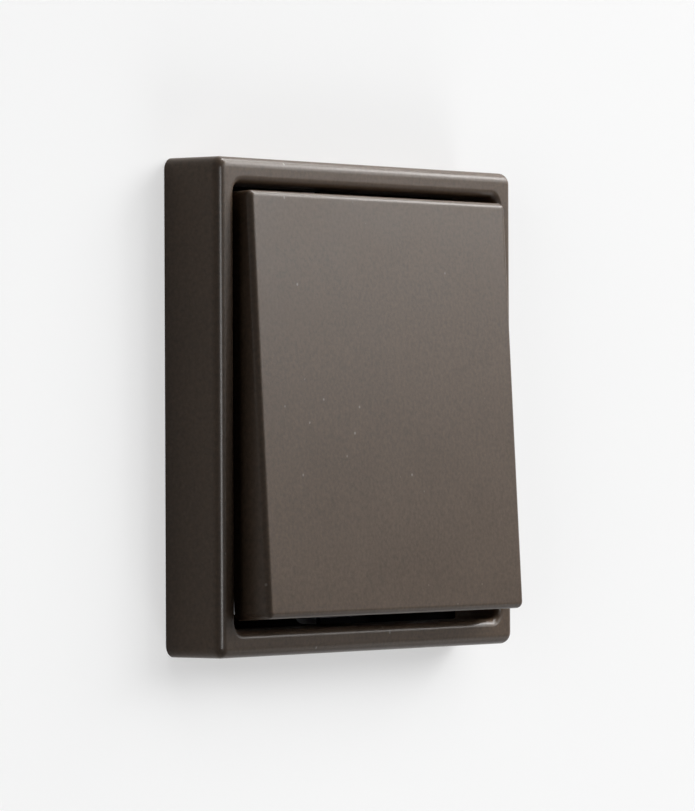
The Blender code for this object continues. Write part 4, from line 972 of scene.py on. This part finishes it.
def seen_from_front(name, shader_for):
    """A material that lets rays through from behind; shader_for builds its front side."""
    material = bpy.data.materials.new(name)
    material.use_nodes = True
    tree = material.node_tree
    tree.nodes.clear()
    side_seen = add(tree, "ShaderNodeNewGeometry")
    through = add(tree, "ShaderNodeBsdfTransparent")
    choice = add(tree, "ShaderNodeMixShader", {0: side_seen.outputs["Backfacing"]})
    tree.links.new(shader_for(tree).outputs[0], choice.inputs[1])
    tree.links.new(through.outputs[0], choice.inputs[2])
    output = add(tree, "ShaderNodeOutputMaterial")
    tree.links.new(choice.outputs[0], output.inputs["Surface"])
    return material


def white_paint(tree):
    """Matt white paint, lifted towards white for the rays that see the background."""
    seen = background_rays(tree)
    lift = add(tree, "ShaderNodeMath", {0: seen, 1: WALL_LIFT}, operation="MULTIPLY")
    tone = add(tree, "ShaderNodeMapRange", {"Value": seen, "To Min": WALL_BOUNCE, "To Max": WALL_SEEN})
    lit = add(tree, "ShaderNodeBsdfDiffuse", {"Color": tone.outputs["Result"]})
    white = add(tree, "ShaderNodeEmission", {"Color": (1.0, 1.0, 1.0, 1.0), "Strength": 1.0})
    both = add(tree, "ShaderNodeMixShader", {0: lift.outputs[0]})
    tree.links.new(lit.outputs[0], both.inputs[1])
    tree.links.new(white.outputs[0], both.inputs[2])
    return both


def painted_box_shade(tree):
    """Painted shade for the opening of the wall box behind the cover: it looks dark, but lets a little
    light in.
    """
    ray = add(tree, "ShaderNodeLightPath")
    light = add(tree, "ShaderNodeMath", {0: ray.outputs["Is Shadow Ray"],
                                         1: ray.outputs["Is Diffuse Ray"]}, operation="MAXIMUM")
    leak = add(tree, "ShaderNodeMath", {0: light.outputs[0], 1: BOX_LEAK}, operation="MULTIPLY")
    dull = add(tree, "ShaderNodeBsdfDiffuse", {"Color": BOX_SHADE_COLOUR})
    through = add(tree, "ShaderNodeBsdfTransparent")
    both = add(tree, "ShaderNodeMixShader", {0: leak.outputs[0]})
    tree.links.new(dull.outputs[0], both.inputs[1])
    tree.links.new(through.outputs[0], both.inputs[2])
    return both


wall_mesh.materials.append(seen_from_front("wall_paint", white_paint))
wall_mesh.materials.append(seen_from_front("wall_box_painted_shade", painted_box_shade))
wall_mesh.polygons[-1].material_index = 1
print("wall materials:", [material.name for material in wall_mesh.materials])

# %% [markdown]
# ## Light
# Every lamp is a soft box, as in a studio: an area lamp that looks at the cover. Its numbers are
# an angle to the right, an angle up, a distance, a width, a height and a power. Light linking
# lets a lamp light one piece only, or spare some.

# %% One lamp
def softbox(name, across, rise, distance, width, height, power, only=None, spare=()):
    """An area lamp that looks at the cover; it lights one piece only, or all but those it spares."""
    across, rise = math.radians(across), math.radians(rise)
    towards = Vector((math.sin(across) * math.cos(rise), -math.cos(across) * math.cos(rise),
                      math.sin(rise)))
    data = bpy.data.lights.new(name, "AREA")
    data.shape = "RECTANGLE"
    data.size = width
    data.size_y = height
    data.energy = power
    lamp = bpy.data.objects.new(name, data)
    bpy.context.scene.collection.objects.link(lamp)
    lamp.location = towards * distance
    lamp.rotation_mode = "QUATERNION"
    lamp.rotation_quaternion = (-towards).to_track_quat("-Z", "Y")
    named = [only] if only else list(spare)
    if named:
        receivers = bpy.data.collections.new(f"{name}_reach")
        for piece in named:
            receivers.objects.link(piece)
        for entry in receivers.collection_objects:
            entry.light_linking.link_state = "INCLUDE" if only else "EXCLUDE"
        lamp.light_linking.receiver_collection = receivers
    return lamp


# %% [markdown]
# The cover is lit from the right, as by a row of windows. The key and the top lamp draw the
# bright lines on the upper edges, and the side lamp lights the faces. The face lamp stands a
# little above the direction that the rocker mirrors, so the satin lacquer shines most at its
# upper end. A weak lamp comes from below and one from the front. A narrow strip on the left
# shines only in reflections and draws the line along the near edge of the frame. The wall has
# lamps of its own, so its shadow can be set apart from the cover, and two lamps behind it show
# the insert.

# %% Lamps of the cover, the wall and the insert
softbox("key", 66, 28, 0.90, 0.30, 0.25, 3.9, spare=(wall,))
softbox("top", 70, 55, 0.90, 0.40, 0.40, 8.5, spare=(wall,))
softbox("side", 33, 18, 0.90, 0.45, 0.40, 2.3)
softbox("face", 53, 13, 1.20, 0.33, 0.28, 2.2, spare=(wall,))
softbox("low", 68, -25, 0.90, 0.35, 0.30, 0.30)
softbox("front", 0, 15, 1.20, 0.45, 0.45, 0.15)
edge = softbox("edge", -18, -4, 0.90, 0.06, 0.50, 6.2, only=cover)
edge.visible_diffuse = False
softbox("wall_left", -75, 0, 0.70, 0.40, 0.60, 2.9, only=wall)
softbox("wall_front", 0, 36, 1.20, 1.10, 1.10, 5.7, only=wall)
softbox("wall_low", 30, -60, 0.70, 0.50, 0.50, 2.0, only=wall)
softbox("wall_right", 55, 25, 1.20, 0.60, 0.60, 5.6, only=wall)
softbox("insert_key", 215, 35, 0.80, 0.40, 0.40, 5.0)
softbox("insert_fill", 130, 10, 0.90, 0.50, 0.50, 2.0)

# %% [markdown]
# The world is a pale room, and the camera and shiny surfaces see it as such. Dull surfaces get
# light from it only behind the wall's plane, where it fills in round the insert. In front the
# lamps do the work.

# %% World
ROOM_SEEN = 0.82
ROOM_FRONT = 0.0
ROOM_BACK = 0.55
ROOM_BLEND = 0.1
world = bpy.data.worlds.new("room")
bpy.context.scene.world = world
world.use_nodes = True
tree = world.node_tree
sky = tree.nodes["Background"]
sky.inputs["Color"].default_value = (1.0, 1.0, 1.0, 1.0)
direction = add(tree, "ShaderNodeTexCoord").outputs["Generated"]
way = add(tree, "ShaderNodeSeparateXYZ", {"Vector": direction})
fill = add(tree, "ShaderNodeMapRange", {
    "Value": way.outputs["Y"], "From Min": -ROOM_BLEND, "From Max": ROOM_BLEND,
    "To Min": ROOM_FRONT, "To Max": ROOM_BACK})
strength = add(tree, "ShaderNodeMix", {"Factor": background_rays(tree), "A": fill.outputs["Result"],
                                       "B": ROOM_SEEN})
tree.links.new(strength.outputs["Result"], sky.inputs["Strength"])
bpy.context.scene.view_settings.view_transform = "Standard"
print(f"room seen at {ROOM_SEEN}, its light {ROOM_FRONT} in front and {ROOM_BACK} behind")
